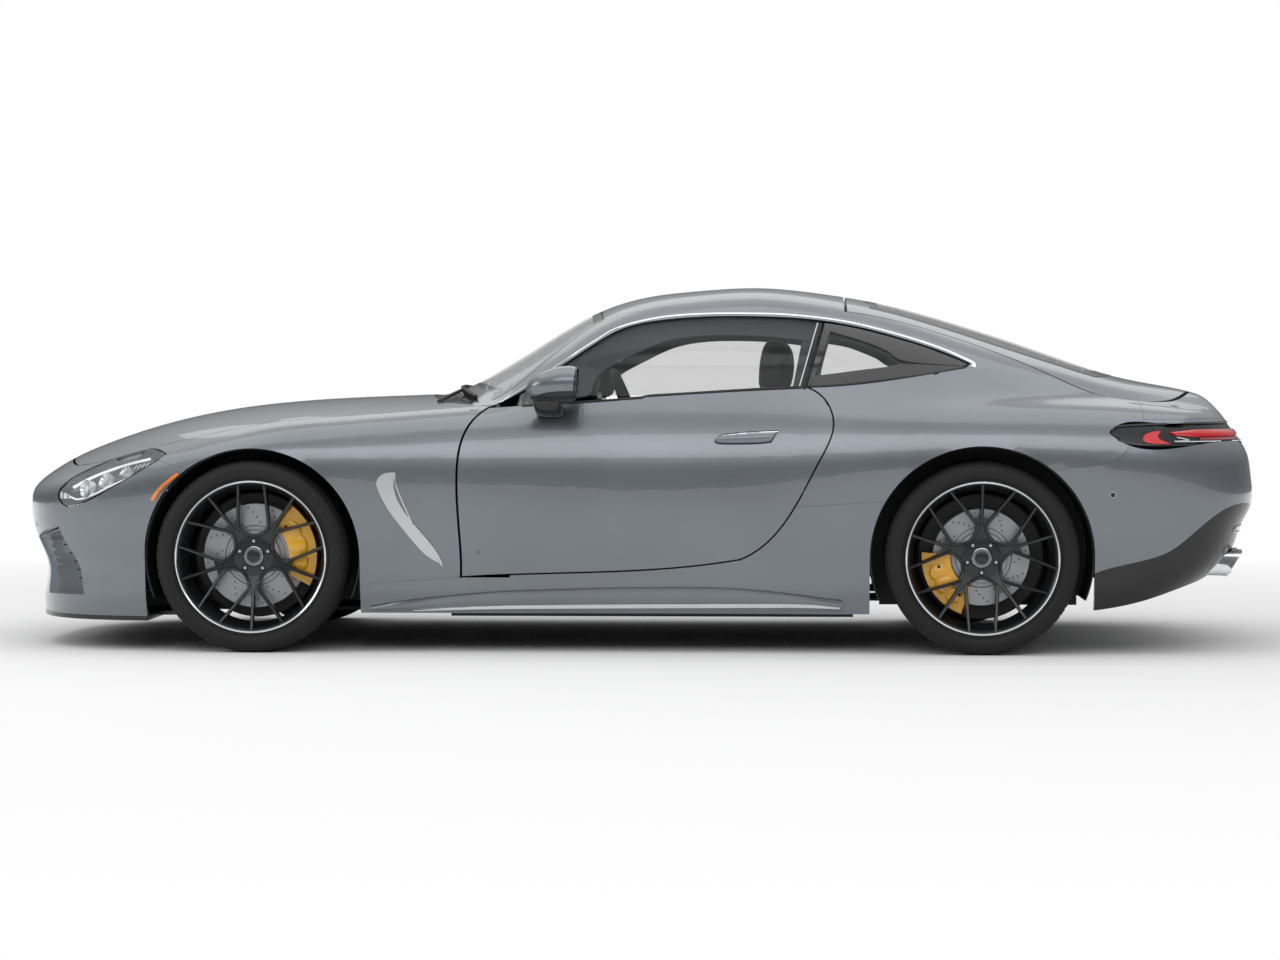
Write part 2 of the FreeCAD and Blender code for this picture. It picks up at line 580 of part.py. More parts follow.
def body_side():
    skin = panel(side_points(station(0.338), station(0.957), -35, 76, 60, 40), SIDE_WALL)
    fender = side_prism(region([(0.30, 0.02), (0.30, 0.665), DOOR_FRONT[0]], DOOR_FRONT,
                               [DOOR_FRONT[-1], (0.3682, 0.02)]), HALF_SEAM)
    low = side_prism(region([(0.72, 0.02), (0.36, 0.02), DOOR_FRONT[-1]], DOOR_BOTTOM, SILL_REAR, SILL_SEAM,
                            [SILL_SEAM[-1], (0.72, 0.4105)]), HALF_SEAM)
    rear = side_prism(REAR_AREA, HALF_SEAM)
    front = block(station(0.30), station(DOOR_FRONT[0][0]), HALF_WIDTH * FENDER_INNER_SHARE - FIXED_SEAM, WIDTH,
                  0, HEIGHT)
    part = skin
    for hole in (fender, front, low, rear, REAR_ARCH, DOOR_HOLE, GLASS_HOLE, TAIL_LAMP_HOLE, SCREEN_HOLE, ROOF_HOLE,
                 TAILGATE_HOLE, HOOD_HOLE, COWL_HOLE):
        part = part.cut(hole)
    reach = -2 * (HOOD_PIVOT[0] - station(HOOD_SIDE[0][0]))
    return largest(pinned(largest(part), HOOD_PIVOT, HOOD_HINGE_Y, reach))


def slid(shape, way, lift=0):
    """A copy of a shape moved along the car, and upwards."""
    copy = shape.copy()
    copy.translate(FreeCAD.Vector(way, 0, lift))
    return copy


def strap(path, y):
    """A flat bar of even width along points in side view, round at its ends and bends."""
    whole = None
    for (ax, az), (bx, bz) in zip(path, path[1:]):
        way = FreeCAD.Vector(bx - ax, 0, bz - az)
        aside = FreeCAD.Vector(-way.z, 0, way.x).normalize() * (STRAP_WIDTH / 2)
        start = FreeCAD.Vector(ax, y - STRAP_WALL / 2, az)
        corners = [start - aside, start + way - aside, start + way + aside, start + aside]
        bar = Part.Face(Part.makePolygon(corners + [corners[0]])).extrude(FreeCAD.Vector(0, STRAP_WALL, 0))
        for x, z in ((ax, az), (bx, bz)):
            bar = bar.fuse(tube(STRAP_WIDTH / 2, STRAP_WALL, x, y - STRAP_WALL / 2, z, Y_WAY))
        whole = bar if whole is None else whole.fuse(bar)
    return whole.removeSplitter()


def hinged(lid, pivot, path, y):
    """A lid with its two bent hinge straps, bored for their pins."""
    x, z = pivot
    arm_solid = strap([(x + dx, z + dz) for dx, dz in [(0, 0)] + path], y)
    arm_solid = arm_solid.cut(tube(LID_PIN + RUN_GAP, 2 * STRAP_WALL, x, y - STRAP_WALL, z, Y_WAY))
    return largest(lid.fuse(arm_solid).fuse(mirrored(arm_solid)))


def pinned(carrier, pivot, y, reach):
    """The fixed side of one lid hinge: a slot for the strap, two lugs and the pin."""
    x, z = pivot
    low, high = sorted((x - math.copysign(STRAP_WIDTH, reach), x + reach))
    part = carrier.cut(block(low, high, y - SLOT_HALF, y + SLOT_HALF, z - SLOT_DEPTH, z + STRAP_WIDTH * SLOT_TOP_SHARE))
    for side in (-1, 1):
        near, far = sorted((y + side * SLOT_HALF, y + side * (SLOT_HALF + LUG_WALL)))
        part = part.fuse(block(x - STRAP_WIDTH / 2, x + STRAP_WIDTH / 2, near, far, z - STRAP_WIDTH / 2, z + LUG_RISE))
    return part.fuse(tube(LID_PIN, 2 * (SLOT_HALF + LUG_WALL), x, y - SLOT_HALF - LUG_WALL, z, Y_WAY))


STRAP_WIDTH = 16.0
STRAP_WALL = 12.0
LID_PIN = 5.0
SLOT_HALF = 12.0
SLOT_DEPTH = 90.0
SLOT_TOP_SHARE = 0.8
LUG_WALL = 10.0
LUG_RISE = 14.0
HOOD_PIVOT = (-500.0, 905.0)
HOOD_HINGE_Y = 722.0
HOOD_STRAP = [(-23.0, -51.0), (-85.0, -45.0), (-85.0, -10.0)]
HOOD_FRONT_SLIDE = 3.0
HOOD_REAR_SLIDE = 3.0
TAILGATE_PIVOT = (690.0, 1309.0)
TAILGATE_HINGE_Y = 300.0
TAILGATE_STRAP = [(45.0, -100.0), (130.0, -90.0), (130.0, -12.0)]
TAILGATE_FRONT_SLIDE = 7.0
TAILGATE_REAR_SLIDE = 9.0


def hood():
    skin = panel(top_points(station(0.02), station(0.40), 800, 26, 17), HOOD_WALL)
    outline = plan_prism(HOOD_PLAN, -HALF_GAP)
    lid = skin.common(slid(outline, HOOD_FRONT_SLIDE)).common(slid(outline, -HOOD_REAR_SLIDE))
    return hinged(largest(lid), HOOD_PIVOT, HOOD_STRAP, HOOD_HINGE_Y)


def windshield():
    skin = panel(top_points(station(0.335), station(0.49), 760, 14, 17), GLASS_WALL)
    return largest(skin.common(plan_prism(SCREEN_PLAN, -HALF_SEAM)))


def roof():
    skin = panel(top_points(station(0.45), station(0.69), 600, 14, 17), ROOF_WALL)
    part = largest(skin.common(plan_prism(ROOF_PLAN, -HALF_SEAM)))
    reach = 2 * (station(ROOF_REAR[0][0]) - TAILGATE_PIVOT[0])
    for y in (-TAILGATE_HINGE_Y, TAILGATE_HINGE_Y):
        part = pinned(part, TAILGATE_PIVOT, y, reach)
    return largest(part)


def tailgate():
    skin = panel(top_points(station(0.655), station(0.957), 740, 22, 19), TAILGATE_WALL)
    outline = plan_prism(TAILGATE_PLAN, -HALF_GAP)
    frame = skin.common(slid(outline, TAILGATE_FRONT_SLIDE)).common(slid(outline, -TAILGATE_REAR_SLIDE))
    frame = largest(frame.cut(plan_prism(REAR_GLASS_PLAN, HALF_SEAM)))
    return hinged(frame, TAILGATE_PIVOT, TAILGATE_STRAP, TAILGATE_HINGE_Y)


def tailgate_glass():
    skin = panel(top_points(station(0.655), station(0.92), 640, 22, 19), GLASS_WALL)
    return largest(skin.common(plan_prism(REAR_GLASS_PLAN, -HALF_SEAM)))


NOSE_FAN_Z = 420.0
NOSE_GRID = end_points(-1, NOSE_FAN_Z, 0, 110, -26, 34, 30, 18)
LIP_LOW = 112.0
LIP_TOP = 128.0


def front_bumper():
    half = panel(NOSE_GRID, BUMPER_WALL)
    half = half.cut(block(2 * NOSE_X, 0, -WIDTH, WIDTH, -HEIGHT, LIP_TOP + FIXED_SEAM)).cut(FRONT_ARCH)
    half = half.cut(side_prism(BEHIND_LAMP, HALF_SEAM)).cut(LAMP_HOLE).cut(HOOD_HOLE)
    half = half.cut(front_prism(GRILLE_MOUTH, NOSE_X - OVERRUN, NOSE_X + OVERRUN))
    half = largest(half.cut(front_prism(INTAKE, NOSE_X - OVERRUN, NOSE_X + OVERRUN)))
    return largest(half.fuse(mirrored(half)))


TAIL_FAN_Z = 520.0
TAIL_GRID = end_points(1, TAIL_FAN_Z, 0, 108, -30, 36, 30, 22)
GRILLE_MOUTH = region([(0.0, 0.225), (0.0, 0.440), (0.375, 0.440)],
                      [(0.375, 0.440), (0.398, 0.436), (0.412, 0.420)],
                      [(0.412, 0.420), (0.465, 0.252)],
                      [(0.465, 0.252), (0.464, 0.234), (0.445, 0.225)])
INTAKE = region([], [(0.56, 0.300), (0.80, 0.335)], [(0.80, 0.335), (0.82, 0.150)],
                [(0.82, 0.150), (0.60, 0.145)], [(0.60, 0.145), (0.56, 0.300)])


def grille():
    """Upright bars across the mouth, in a surround that sits behind the bumper skin."""
    skin = panel(NOSE_GRID, GRILLE_DEPTH, BUMPER_WALL + FIT_GAP)
    half = skin.common(front_prism(GRILLE_MOUTH, NOSE_X - OVERRUN, NOSE_X + OVERRUN, GRILLE_RIM))
    ring = half.cut(front_prism(GRILLE_MOUTH, NOSE_X - OVERRUN, NOSE_X + OVERRUN, -GRILLE_RIM / 2))
    bars = ring
    for i in range(GRILLE_BARS):
        y = GRILLE_PITCH * (i + 0.5) if i else 0
        bar = block(NOSE_X - OVERRUN, NOSE_X + OVERRUN, y - GRILLE_BAR / 2, y + GRILLE_BAR / 2, 0, HEIGHT)
        bars = bars.fuse(half.common(bar))
    bars = bars.common(block(NOSE_X - OVERRUN, 0, 0, WIDTH, 0, HEIGHT))
    return largest(bars.fuse(mirrored(bars)))


GRILLE_DEPTH = 22.0
GRILLE_RIM = 18.0
GRILLE_BAR = 14.0
GRILLE_PITCH = 58.0
GRILLE_BARS = 8


def headlamp():
    skin = panel(NOSE_GRID, BUMPER_WALL)
    return largest(skin.common(side_prism(HEADLAMP, -HALF_SEAM)).cut(HOOD_HOLE))


def rear_bumper():
    skin = panel(TAIL_GRID, BUMPER_WALL)
    half = skin.common(side_prism(REAR_AREA, -HALF_SEAM)).cut(TAIL_LAMP_CORE).cut(REAR_ARCH)
    half = half.cut(side_prism(DIFFUSER_AREA, HALF_SEAM))
    half = largest(half.cut(block(0, TAIL_X * 2, 0, WIDTH, DECK_LOW - FIXED_SEAM, HEIGHT)))
    return largest(half.fuse(mirrored(half)))


DECK_LOW = 866.0
DECK_WALL = 14.0
DECK_GRID = end_points(1, TAIL_FAN_Z, 0, 108, 20, 60, 30, 24)


def tail_deck():
    """The fixed deck between the tailgate and the bumper, with the lip that the air leaves from."""
    skin = panel(DECK_GRID, DECK_WALL)
    half = skin.common(side_prism(REAR_AREA, -HALF_SEAM)).cut(TAILGATE_HOLE)
    half = largest(half.cut(block(0, TAIL_X * 2, 0, WIDTH, 0, DECK_LOW)))
    return largest(half.fuse(mirrored(half)))


def diffuser():
    skin = panel(TAIL_GRID, BUMPER_WALL)
    half = skin.common(side_prism(DIFFUSER_AREA, -HALF_SEAM)).cut(REAR_ARCH)
    half = half.cut(side_prism(DIFFUSER_FOOT))
    for y in TIP_PLACES:
        half = half.cut(tip_block(y, TIP_GAP))
    half = largest(half)
    return largest(half.fuse(mirrored(half)))


TIP_START = 2120.0
TIP_END = 2255.0
TIP_HALF = 58.0
TIP_LOW = 282.0
TIP_HIGH = 372.0
TIP_ROUND = 24.0
TIP_WALL = 6.0
TIP_GAP = 8.0
TIP_PLACES = (640.0, 510.0)
SILENCER_END = 1960.0


def tip_block(y, grow):
    """One tailpipe with its rounded section, or the space round it."""
    part = block(SILENCER_END, TIP_END + grow, y - TIP_HALF - grow, y + TIP_HALF + grow, TIP_LOW - grow,
                 TIP_HIGH + grow)
    long_edges = [edge for edge in part.Edges if abs(edge.Length - (TIP_END + grow - SILENCER_END)) < FIT_GAP]
    return part.makeFillet(TIP_ROUND + grow, long_edges)


DIFFUSER_AREA = region([(1.02, 0.385), (1.02, 0.04), (0.82, 0.04), (0.82, 0.18), DIFFUSER_TOP[0]], DIFFUSER_TOP)
DIFFUSER_FOOT = region([(1.02, 0.205), (1.02, 0.0), (0.80, 0.0), (0.80, 0.110)],
                       [(0.80, 0.110), (0.8492, 0.113), (0.9061, 0.147), (0.9372, 0.181), (0.9564, 0.198),
                        (1.02, 0.205)])
TAIL_LAMP_INNER_SHARE = 0.42
TAIL_LAMP_CORE = TAIL_LAMP_HOLE.cut(block(NOSE_X, TAIL_X * 2, -WIDTH * 2, HALF_WIDTH * TAIL_LAMP_INNER_SHARE,
                                          0, HEIGHT))


def tail_lamp():
    skin = panel(TAIL_GRID, BUMPER_WALL)
    lamp = skin.common(side_prism(TAIL_LAMP, -HALF_SEAM))
    inner = HALF_WIDTH * TAIL_LAMP_INNER_SHARE + FIXED_SEAM
    return largest(lamp.cut(block(NOSE_X, TAIL_X * 2, -WIDTH * 2, inner, 0, HEIGHT)))



GLASS_BULK = panel(side_points(station(0.36), station(0.79), 6, 70, 34, 18), GLASS_WALL, GLASS_SET_BACK)
GLASS_SLIDE = 4.0


def quarter_glass():
    """The fixed side window, clear of the door's corner below it."""
    part = GLASS_BULK.common(side_prism(SIDE_GLASS, -HALF_SEAM)).common(REAR_OF_DIVIDER)
    return largest(part.cut(side_prism(DOOR, SHUT_GAP)))


def door_glass():
    """The door's own window, which stands on the door and clears the body's opening as it swings."""
    low = GLASS_FOOT_SHARE
    area = region([(GLASS_TOP[-1][0], low), (GLASS_TOP[0][0], low)], GLASS_TOP)
    part = GLASS_BULK.common(side_prism(area, HALF_SEAM - SHUT_GAP)).common(slid(FORE_OF_DIVIDER, -GLASS_SLIDE))
    return largest(part.cut(side_prism(DOOR, FIT_GAP - HALF_GAP)))


GLASS_FOOT_SHARE = 0.62


REAR_OF_DIVIDER = side_prism(region([(0.82, DIVIDER_LOW[1]), (0.82, DIVIDER_TOP[1])], [DIVIDER_TOP, DIVIDER_LOW]),
                             -HALF_GAP)
FORE_OF_DIVIDER = side_prism(region(FORE_CORNERS, [DIVIDER_TOP, DIVIDER_LOW]), -HALF_GAP)


def cowl():
    skin = panel(top_points(station(0.32), station(0.40), 760, 10, 17), COWL_WALL, COWL_SET_BACK)
    part = skin.common(plan_prism(COWL_PLAN, -HALF_SEAM)).cut(HOOD_HOLE)
    slot = block(HOOD_PIVOT[0] - OVERRUN, HOOD_PIVOT[0], HOOD_HINGE_Y - SLOT_HALF, WIDTH, 0, HEIGHT)
    return largest(part.cut(slot).cut(mirrored(slot)))


COWL_WALL = 14.0
COWL_SET_BACK = 4.0


def front_lip():
    turns = spread(0, 90, 19)
    rim = [leave_form((-BUMPER_AXIS_X, 0, LIP_TOP), (-math.cos(math.radians(t)), math.sin(math.radians(t)), 0))
           for t in turns]
    rim = [FreeCAD.Vector(p.x, p.y, LIP_LOW) for p in rim]
    curve = Part.BSplineCurve()
    curve.interpolate(rim)
    back = FreeCAD.Vector(-BUMPER_AXIS_X, 0, LIP_LOW)
    edges = [curve.toShape(), Part.LineSegment(rim[-1], back).toShape(), Part.LineSegment(back, rim[0]).toShape()]
    half = Part.Face(Part.Wire(edges)).extrude(FreeCAD.Vector(0, 0, LIP_TOP - LIP_LOW))
    half = half.cut(FRONT_ARCH)
    return largest(half.fuse(mirrored(half)))


# The wheels
def ring(profile, x, z):
    """A solid of revolution about a line along Y, from (radius, y) corners."""
    points = [FreeCAD.Vector(x, y, z + r) for r, y in profile]
    wire = Part.makePolygon(points + [points[0]])
    return Part.Face(wire).revolve(FreeCAD.Vector(x, 0, z), Y_WAY, 360)


def tyre(x, reach, width):
    inner = reach - width
    return ring([(RIM_RADIUS, reach - BEAD_SET), (RIM_RADIUS + SIDEWALL_BULGE_RISE, reach + SIDEWALL_BULGE),
                 (ROLL_RADIUS - TYRE_SHOULDER, reach), (ROLL_RADIUS, reach - TYRE_SHOULDER),
                 (ROLL_RADIUS, inner + TYRE_SHOULDER), (ROLL_RADIUS - TYRE_SHOULDER, inner),
                 (RIM_RADIUS, inner + BEAD_SET)], x, ROLL_RADIUS)


BEAD_SET = 6.0
SIDEWALL_BULGE = 6.0
SIDEWALL_BULGE_RISE = 26.0
TYRE_SHOULDER = 22.0
BARREL_WALL = 10.0
DISH_DEPTH = 78.0
HUB_RADIUS = 78.0
HUB_WALL = 22.0
SPINDLE_RADIUS = 34.0
SPOKE_WALL = 30.0
ROOT_SPOKES = 5
BRANCHES = 3
ROOT_WIDTH = 46.0
BRANCH_WIDTH = 17.0
FORK_RADIUS = 118.0


def rim(x, reach, width, first_deg):
    """A dished rim: five roots, each forked into three, run from the hub to the barrel."""
    inner = reach - width
    barrel = ring([(RIM_RADIUS, reach - BEAD_SET), (RIM_RADIUS, inner + BEAD_SET),
                   (RIM_RADIUS - BARREL_WALL, inner + BEAD_SET), (RIM_RADIUS - BARREL_WALL, reach - BEAD_SET)],
                  x, ROLL_RADIUS)
    face = reach - BEAD_SET
    hub_face = reach - DISH_DEPTH
    dish = ring([(RIM_RADIUS - BARREL_WALL / 2, face), (RIM_RADIUS - BARREL_WALL / 2, face - SPOKE_WALL),
                 (HUB_RADIUS, hub_face - HUB_WALL), (SPINDLE_RADIUS + RUN_GAP, hub_face - HUB_WALL),
                 (SPINDLE_RADIUS + RUN_GAP, hub_face), (HUB_RADIUS, hub_face)], x, ROLL_RADIUS)
    star = tube(HUB_RADIUS, 2 * WIDTH, x, 0, ROLL_RADIUS, Y_WAY)
    for i in range(ROOT_SPOKES):
        turn = first_deg + 360 * i / ROOT_SPOKES
        star = star.fuse(arm(x, turn, 0, FORK_RADIUS + BRANCH_WIDTH, ROOT_WIDTH, ROOT_WIDTH * 0.8))
        for k in range(BRANCHES):
            step = 360 / (ROOT_SPOKES * BRANCHES) * (k - 1)
            star = star.fuse(branch(x, turn, step))
    spokes = dish.common(star)
    return largest(barrel.fuse(spokes))


def wheel_place(x, turn, radius, aside=0.0):
    """A point on a wheel's face, from its turn, its radius and a step to one side."""
    t = math.radians(turn)
    return FreeCAD.Vector(x + radius * math.cos(t) - aside * math.sin(t), 0,
                          ROLL_RADIUS + radius * math.sin(t) + aside * math.cos(t))


def arm(x, turn, start, end, width_start, width_end):
    corners = [wheel_place(x, turn, start, -width_start / 2), wheel_place(x, turn, end, -width_end / 2),
               wheel_place(x, turn, end, width_end / 2), wheel_place(x, turn, start, width_start / 2)]
    return Part.Face(Part.makePolygon(corners + [corners[0]])).extrude(FreeCAD.Vector(0, 2 * WIDTH, 0))


def branch(x, turn, step):
    """One prong, from the fork to its place on the barrel."""
    root = wheel_place(x, turn, FORK_RADIUS, ROOT_WIDTH / 4 * (1 if step > 0 else -1 if step < 0 else 0))
    end = wheel_place(x, turn + step, RIM_RADIUS)
    way = (end - root).normalize()
    aside = FreeCAD.Vector(-way.z, 0, way.x) * (BRANCH_WIDTH / 2)
    corners = [root - aside, end - aside, end + aside, root + aside]
    return Part.Face(Part.makePolygon(corners + [corners[0]])).extrude(FreeCAD.Vector(0, 2 * WIDTH, 0))


DISC_RADIUS_FRONT = 195.0
DISC_RADIUS_REAR = 180.0
DISC_WALL = 36.0
DISC_HAT_RADIUS = 95.0
DISC_HAT_WALL = 8.0
DISC_INSET = 22.0


def brake_disc(x, reach, radius):
    """A rotor with its hat, which seats on the back of the hub."""
    seat = reach - DISH_DEPTH - HUB_WALL
    outer = seat - DISC_INSET
    return ring([(radius, outer), (radius, outer - DISC_WALL), (DISC_HAT_RADIUS - DISC_HAT_WALL, outer - DISC_WALL),
                 (DISC_HAT_RADIUS - DISC_HAT_WALL, seat - DISC_HAT_WALL),
                 (SPINDLE_RADIUS + RUN_GAP, seat - DISC_HAT_WALL), (SPINDLE_RADIUS + RUN_GAP, seat),
                 (DISC_HAT_RADIUS, seat), (DISC_HAT_RADIUS, outer)], x, ROLL_RADIUS)


CALIPER_GAP = 6.0
CALIPER_WALL = 24.0
CALIPER_RISE = 40.0
CALIPER_RIM_GAP = 8.0


def caliper(x, reach, radius, low_deg, high_deg):
    """A block over the disc's edge, from one turn to another about the axle."""
    seat = reach - DISH_DEPTH - HUB_WALL
    outer = seat - DISC_INSET + CALIPER_GAP + CALIPER_WALL
    inner = seat - DISC_INSET - DISC_WALL - CALIPER_GAP - CALIPER_WALL
    low = radius - CALIPER_RISE - CALIPER_WALL
    high = min(radius + CALIPER_RISE, RIM_RADIUS - BARREL_WALL - CALIPER_RIM_GAP)
    shell = ring([(low, inner), (high, inner), (high, outer), (low, outer)], x, ROLL_RADIUS)
    slot = ring([(0, inner + CALIPER_WALL), (radius + CALIPER_GAP, inner + CALIPER_WALL),
                 (radius + CALIPER_GAP, outer - CALIPER_WALL), (0, outer - CALIPER_WALL)], x, ROLL_RADIUS)
    middle = (low_deg + high_deg) / 2
    half = math.radians((high_deg - low_deg) / 2)
    far = RIM_RADIUS * 2
    corners = [wheel_place(x, middle, 0), wheel_place(x, middle, far, -far * math.tan(half)),
               wheel_place(x, middle, far, far * math.tan(half))]
    wedge = Part.Face(Part.makePolygon(corners + [corners[0]])).extrude(FreeCAD.Vector(0, 2 * WIDTH, 0))
    return largest(shell.cut(slot).common(wedge))


KINGPIN_Y = 770.0
KINGPIN_RADIUS = 14.0
KNUCKLE_HALF = 34.0
KNUCKLE_LOW = 215.0
KNUCKLE_HIGH = 470.0
EYE_RADIUS = 22.0
EYE_HEIGHT = 28.0
KNUCKLE_Y = 735.0


def knuckle(x, reach, calipers_deg, radius):
    """The upright with its spindle, the kingpin's two ends and the caliper's lug."""
    seat = reach - DISH_DEPTH - HUB_WALL
    back = seat - DISC_INSET - DISC_WALL - CALIPER_GAP
    body = block(x - KNUCKLE_HALF, x + KNUCKLE_HALF, KNUCKLE_Y, back, KNUCKLE_LOW, KNUCKLE_HIGH)
    spindle = tube(SPINDLE_RADIUS, reach - DISH_DEPTH - KNUCKLE_Y, x, KNUCKLE_Y, ROLL_RADIUS, Y_WAY)
    pin = tube(KINGPIN_RADIUS, KNUCKLE_HIGH - KNUCKLE_LOW + 2 * EYE_HEIGHT, x, KINGPIN_Y, KNUCKLE_LOW - EYE_HEIGHT,
               Z_WAY)
    lug = arm(x, sum(calipers_deg) / 2, 0, radius, KNUCKLE_HALF * 2, KNUCKLE_HALF * 2)
    lug = lug.common(block(x - RIM_RADIUS, x + RIM_RADIUS, KNUCKLE_Y, back - CALIPER_WALL - FIT_GAP, 0, HEIGHT))
    return largest(body.fuse(spindle).fuse(pin).fuse(lug).removeSplitter())


ARM_WALL = EYE_HEIGHT
ARM_INNER_Y = 330.0
ARM_SPREAD = 150.0
ARM_WIDTH = 34.0
RAIL_WIDTH = 70.0


def control_arm(x, z_low):
    """A two-legged arm from the subframe to the kingpin's end."""
    arm_solid = tube(EYE_RADIUS, ARM_WALL, x, KINGPIN_Y, z_low, Z_WAY)
    for side in (-1, 1):
        start = FreeCAD.Vector(x + side * ARM_SPREAD, ARM_INNER_Y, z_low)
        end = FreeCAD.Vector(x, KINGPIN_Y, z_low)
        way = (end - start).normalize()
        aside = FreeCAD.Vector(-way.y, way.x, 0) * (ARM_WIDTH / 2)
        corners = [start - aside, end - aside, end + aside, start + aside]
        leg = Part.Face(Part.makePolygon(corners + [corners[0]])).extrude(FreeCAD.Vector(0, 0, ARM_WALL))
        arm_solid = arm_solid.fuse(leg)
    return arm_solid.cut(tube(KINGPIN_RADIUS + RUN_GAP, 2 * ARM_WALL, x, KINGPIN_Y, z_low - ARM_WALL / 2, Z_WAY))


def subframe(x, seat_z):
    """Rails beside the engine or the axle, a cross beam, and the arms on both sides."""
    half = control_arm(x, KNUCKLE_LOW - EYE_HEIGHT).fuse(control_arm(x, KNUCKLE_HIGH))
    rail = block(x - ARM_SPREAD * 1.3, x + ARM_SPREAD * 1.3, ARM_INNER_Y - RAIL_WIDTH, ARM_INNER_Y + ARM_WIDTH / 2,
                 seat_z, KNUCKLE_HIGH + EYE_HEIGHT)
    beam = block(x - RAIL_WIDTH, x + RAIL_WIDTH, 0, ARM_INNER_Y, KNUCKLE_LOW - EYE_HEIGHT, KNUCKLE_LOW + EYE_HEIGHT)
    half = half.fuse(rail).fuse(beam)
    return largest(half.fuse(mirrored(half)).removeSplitter())


# The structure under the panels
PAN_LOW = 128.0
PAN_WALL = 30.0
FIREWALL_X = -640.0
BULKHEAD_X = 800.0
BULKHEAD_WALL = 30.0
TUNNEL_HALF = 150.0
TUNNEL_HEIGHT = 190.0
TUNNEL_WALL = 12.0
LOAD_FLOOR_Z = 640.0
LOAD_WALL = 20.0
LOAD_HALF = 560.0
REAR_WALL_X = 1990.0
TRAY_WALL = 12.0
ARCH_TUB_HALF = 450.0


def floor():
    """Cabin pan with its tunnel, firewall, rear bulkhead, load floor and the trays below."""
    pan = block(FIREWALL_X, BULKHEAD_X + BULKHEAD_WALL, -FLOOR_REACH, FLOOR_REACH, PAN_LOW, PAN_LOW + PAN_WALL)
    top = PAN_LOW + PAN_WALL
    tunnel = block(FIREWALL_X, BULKHEAD_X, -TUNNEL_HALF, TUNNEL_HALF, PAN_LOW, top + TUNNEL_HEIGHT)
    hollow = block(FIREWALL_X - OVERRUN, BULKHEAD_X + OVERRUN, TUNNEL_WALL - TUNNEL_HALF,
                   TUNNEL_HALF - TUNNEL_WALL, 0, top + TUNNEL_HEIGHT - TUNNEL_WALL)
    firewall = block(FIREWALL_X - BULKHEAD_WALL, FIREWALL_X, -FLOOR_REACH, FLOOR_REACH, PAN_LOW, FIREWALL_TOP)
    bulkhead = block(BULKHEAD_X, BULKHEAD_X + BULKHEAD_WALL, -FLOOR_REACH, FLOOR_REACH, PAN_LOW, LOAD_FLOOR_Z)
    load = block(BULKHEAD_X, REAR_WALL_X, -LOAD_HALF, LOAD_HALF, LOAD_FLOOR_Z, LOAD_FLOOR_Z + LOAD_WALL)
    wall = block(REAR_WALL_X - LOAD_WALL, REAR_WALL_X, -LOAD_HALF, LOAD_HALF, LOAD_FLOOR_Z, LOAD_FLOOR_Z + LOAD_LIP)
    front_tray = block(FRONT_TRAY_X, FIREWALL_X, -ARCH_TUB_HALF, ARCH_TUB_HALF, PAN_LOW, PAN_LOW + TRAY_WALL)
    rear_tray = block(BULKHEAD_X, REAR_TRAY_X, -ARCH_TUB_HALF, ARCH_TUB_HALF, REAR_TRAY_Z - TRAY_WALL, REAR_TRAY_Z)
    body = pan.fuse(tunnel).fuse(firewall).fuse(bulkhead).fuse(load).fuse(wall).fuse(front_tray).fuse(rear_tray)
    return largest(body.cut(hollow).removeSplitter())


FIREWALL_TOP = 760.0
LOAD_LIP = 100.0
FRONT_TRAY_X = -2100.0
REAR_TRAY_Z = 180.0
REAR_TRAY_X = 1640.0


def liner(x, radius, inner_y, outer_y):
    """A wheel arch liner: a half round tub with its inner wall open round the axle."""
    shell = tube(radius - FIT_GAP, outer_y - inner_y, x, inner_y, ROLL_RADIUS, Y_WAY)
    shell = shell.cut(tube(radius - FIT_GAP - LINER_WALL, outer_y, x, inner_y + LINER_WALL, ROLL_RADIUS, Y_WAY))
    shell = shell.cut(tube(LINER_HOLE, outer_y, x, 0, ROLL_RADIUS, Y_WAY))
    shell = shell.cut(block(x - WIDTH, x + WIDTH, 0, WIDTH, 0, LINER_FOOT))
    return largest(shell.cut(block(x - LINER_HOLE, x + LINER_HOLE, 0, WIDTH, 0, ROLL_RADIUS)))


LINER_WALL = 5.0
LINER_HOLE = 300.0
LINER_FOOT = 200.0
LINER_OUTER_FRONT = 900.0
LINER_OUTER_REAR = 905.0
LINER_INNER_REAR = 610.0

ENGINE_START = -1330.0
ENGINE_END = -720.0
ENGINE_HALF = 230.0
ENGINE_TOP = 740.0


def engine():
    return block(ENGINE_START, ENGINE_END, -ENGINE_HALF, ENGINE_HALF, KNUCKLE_LOW + EYE_HEIGHT, ENGINE_TOP)


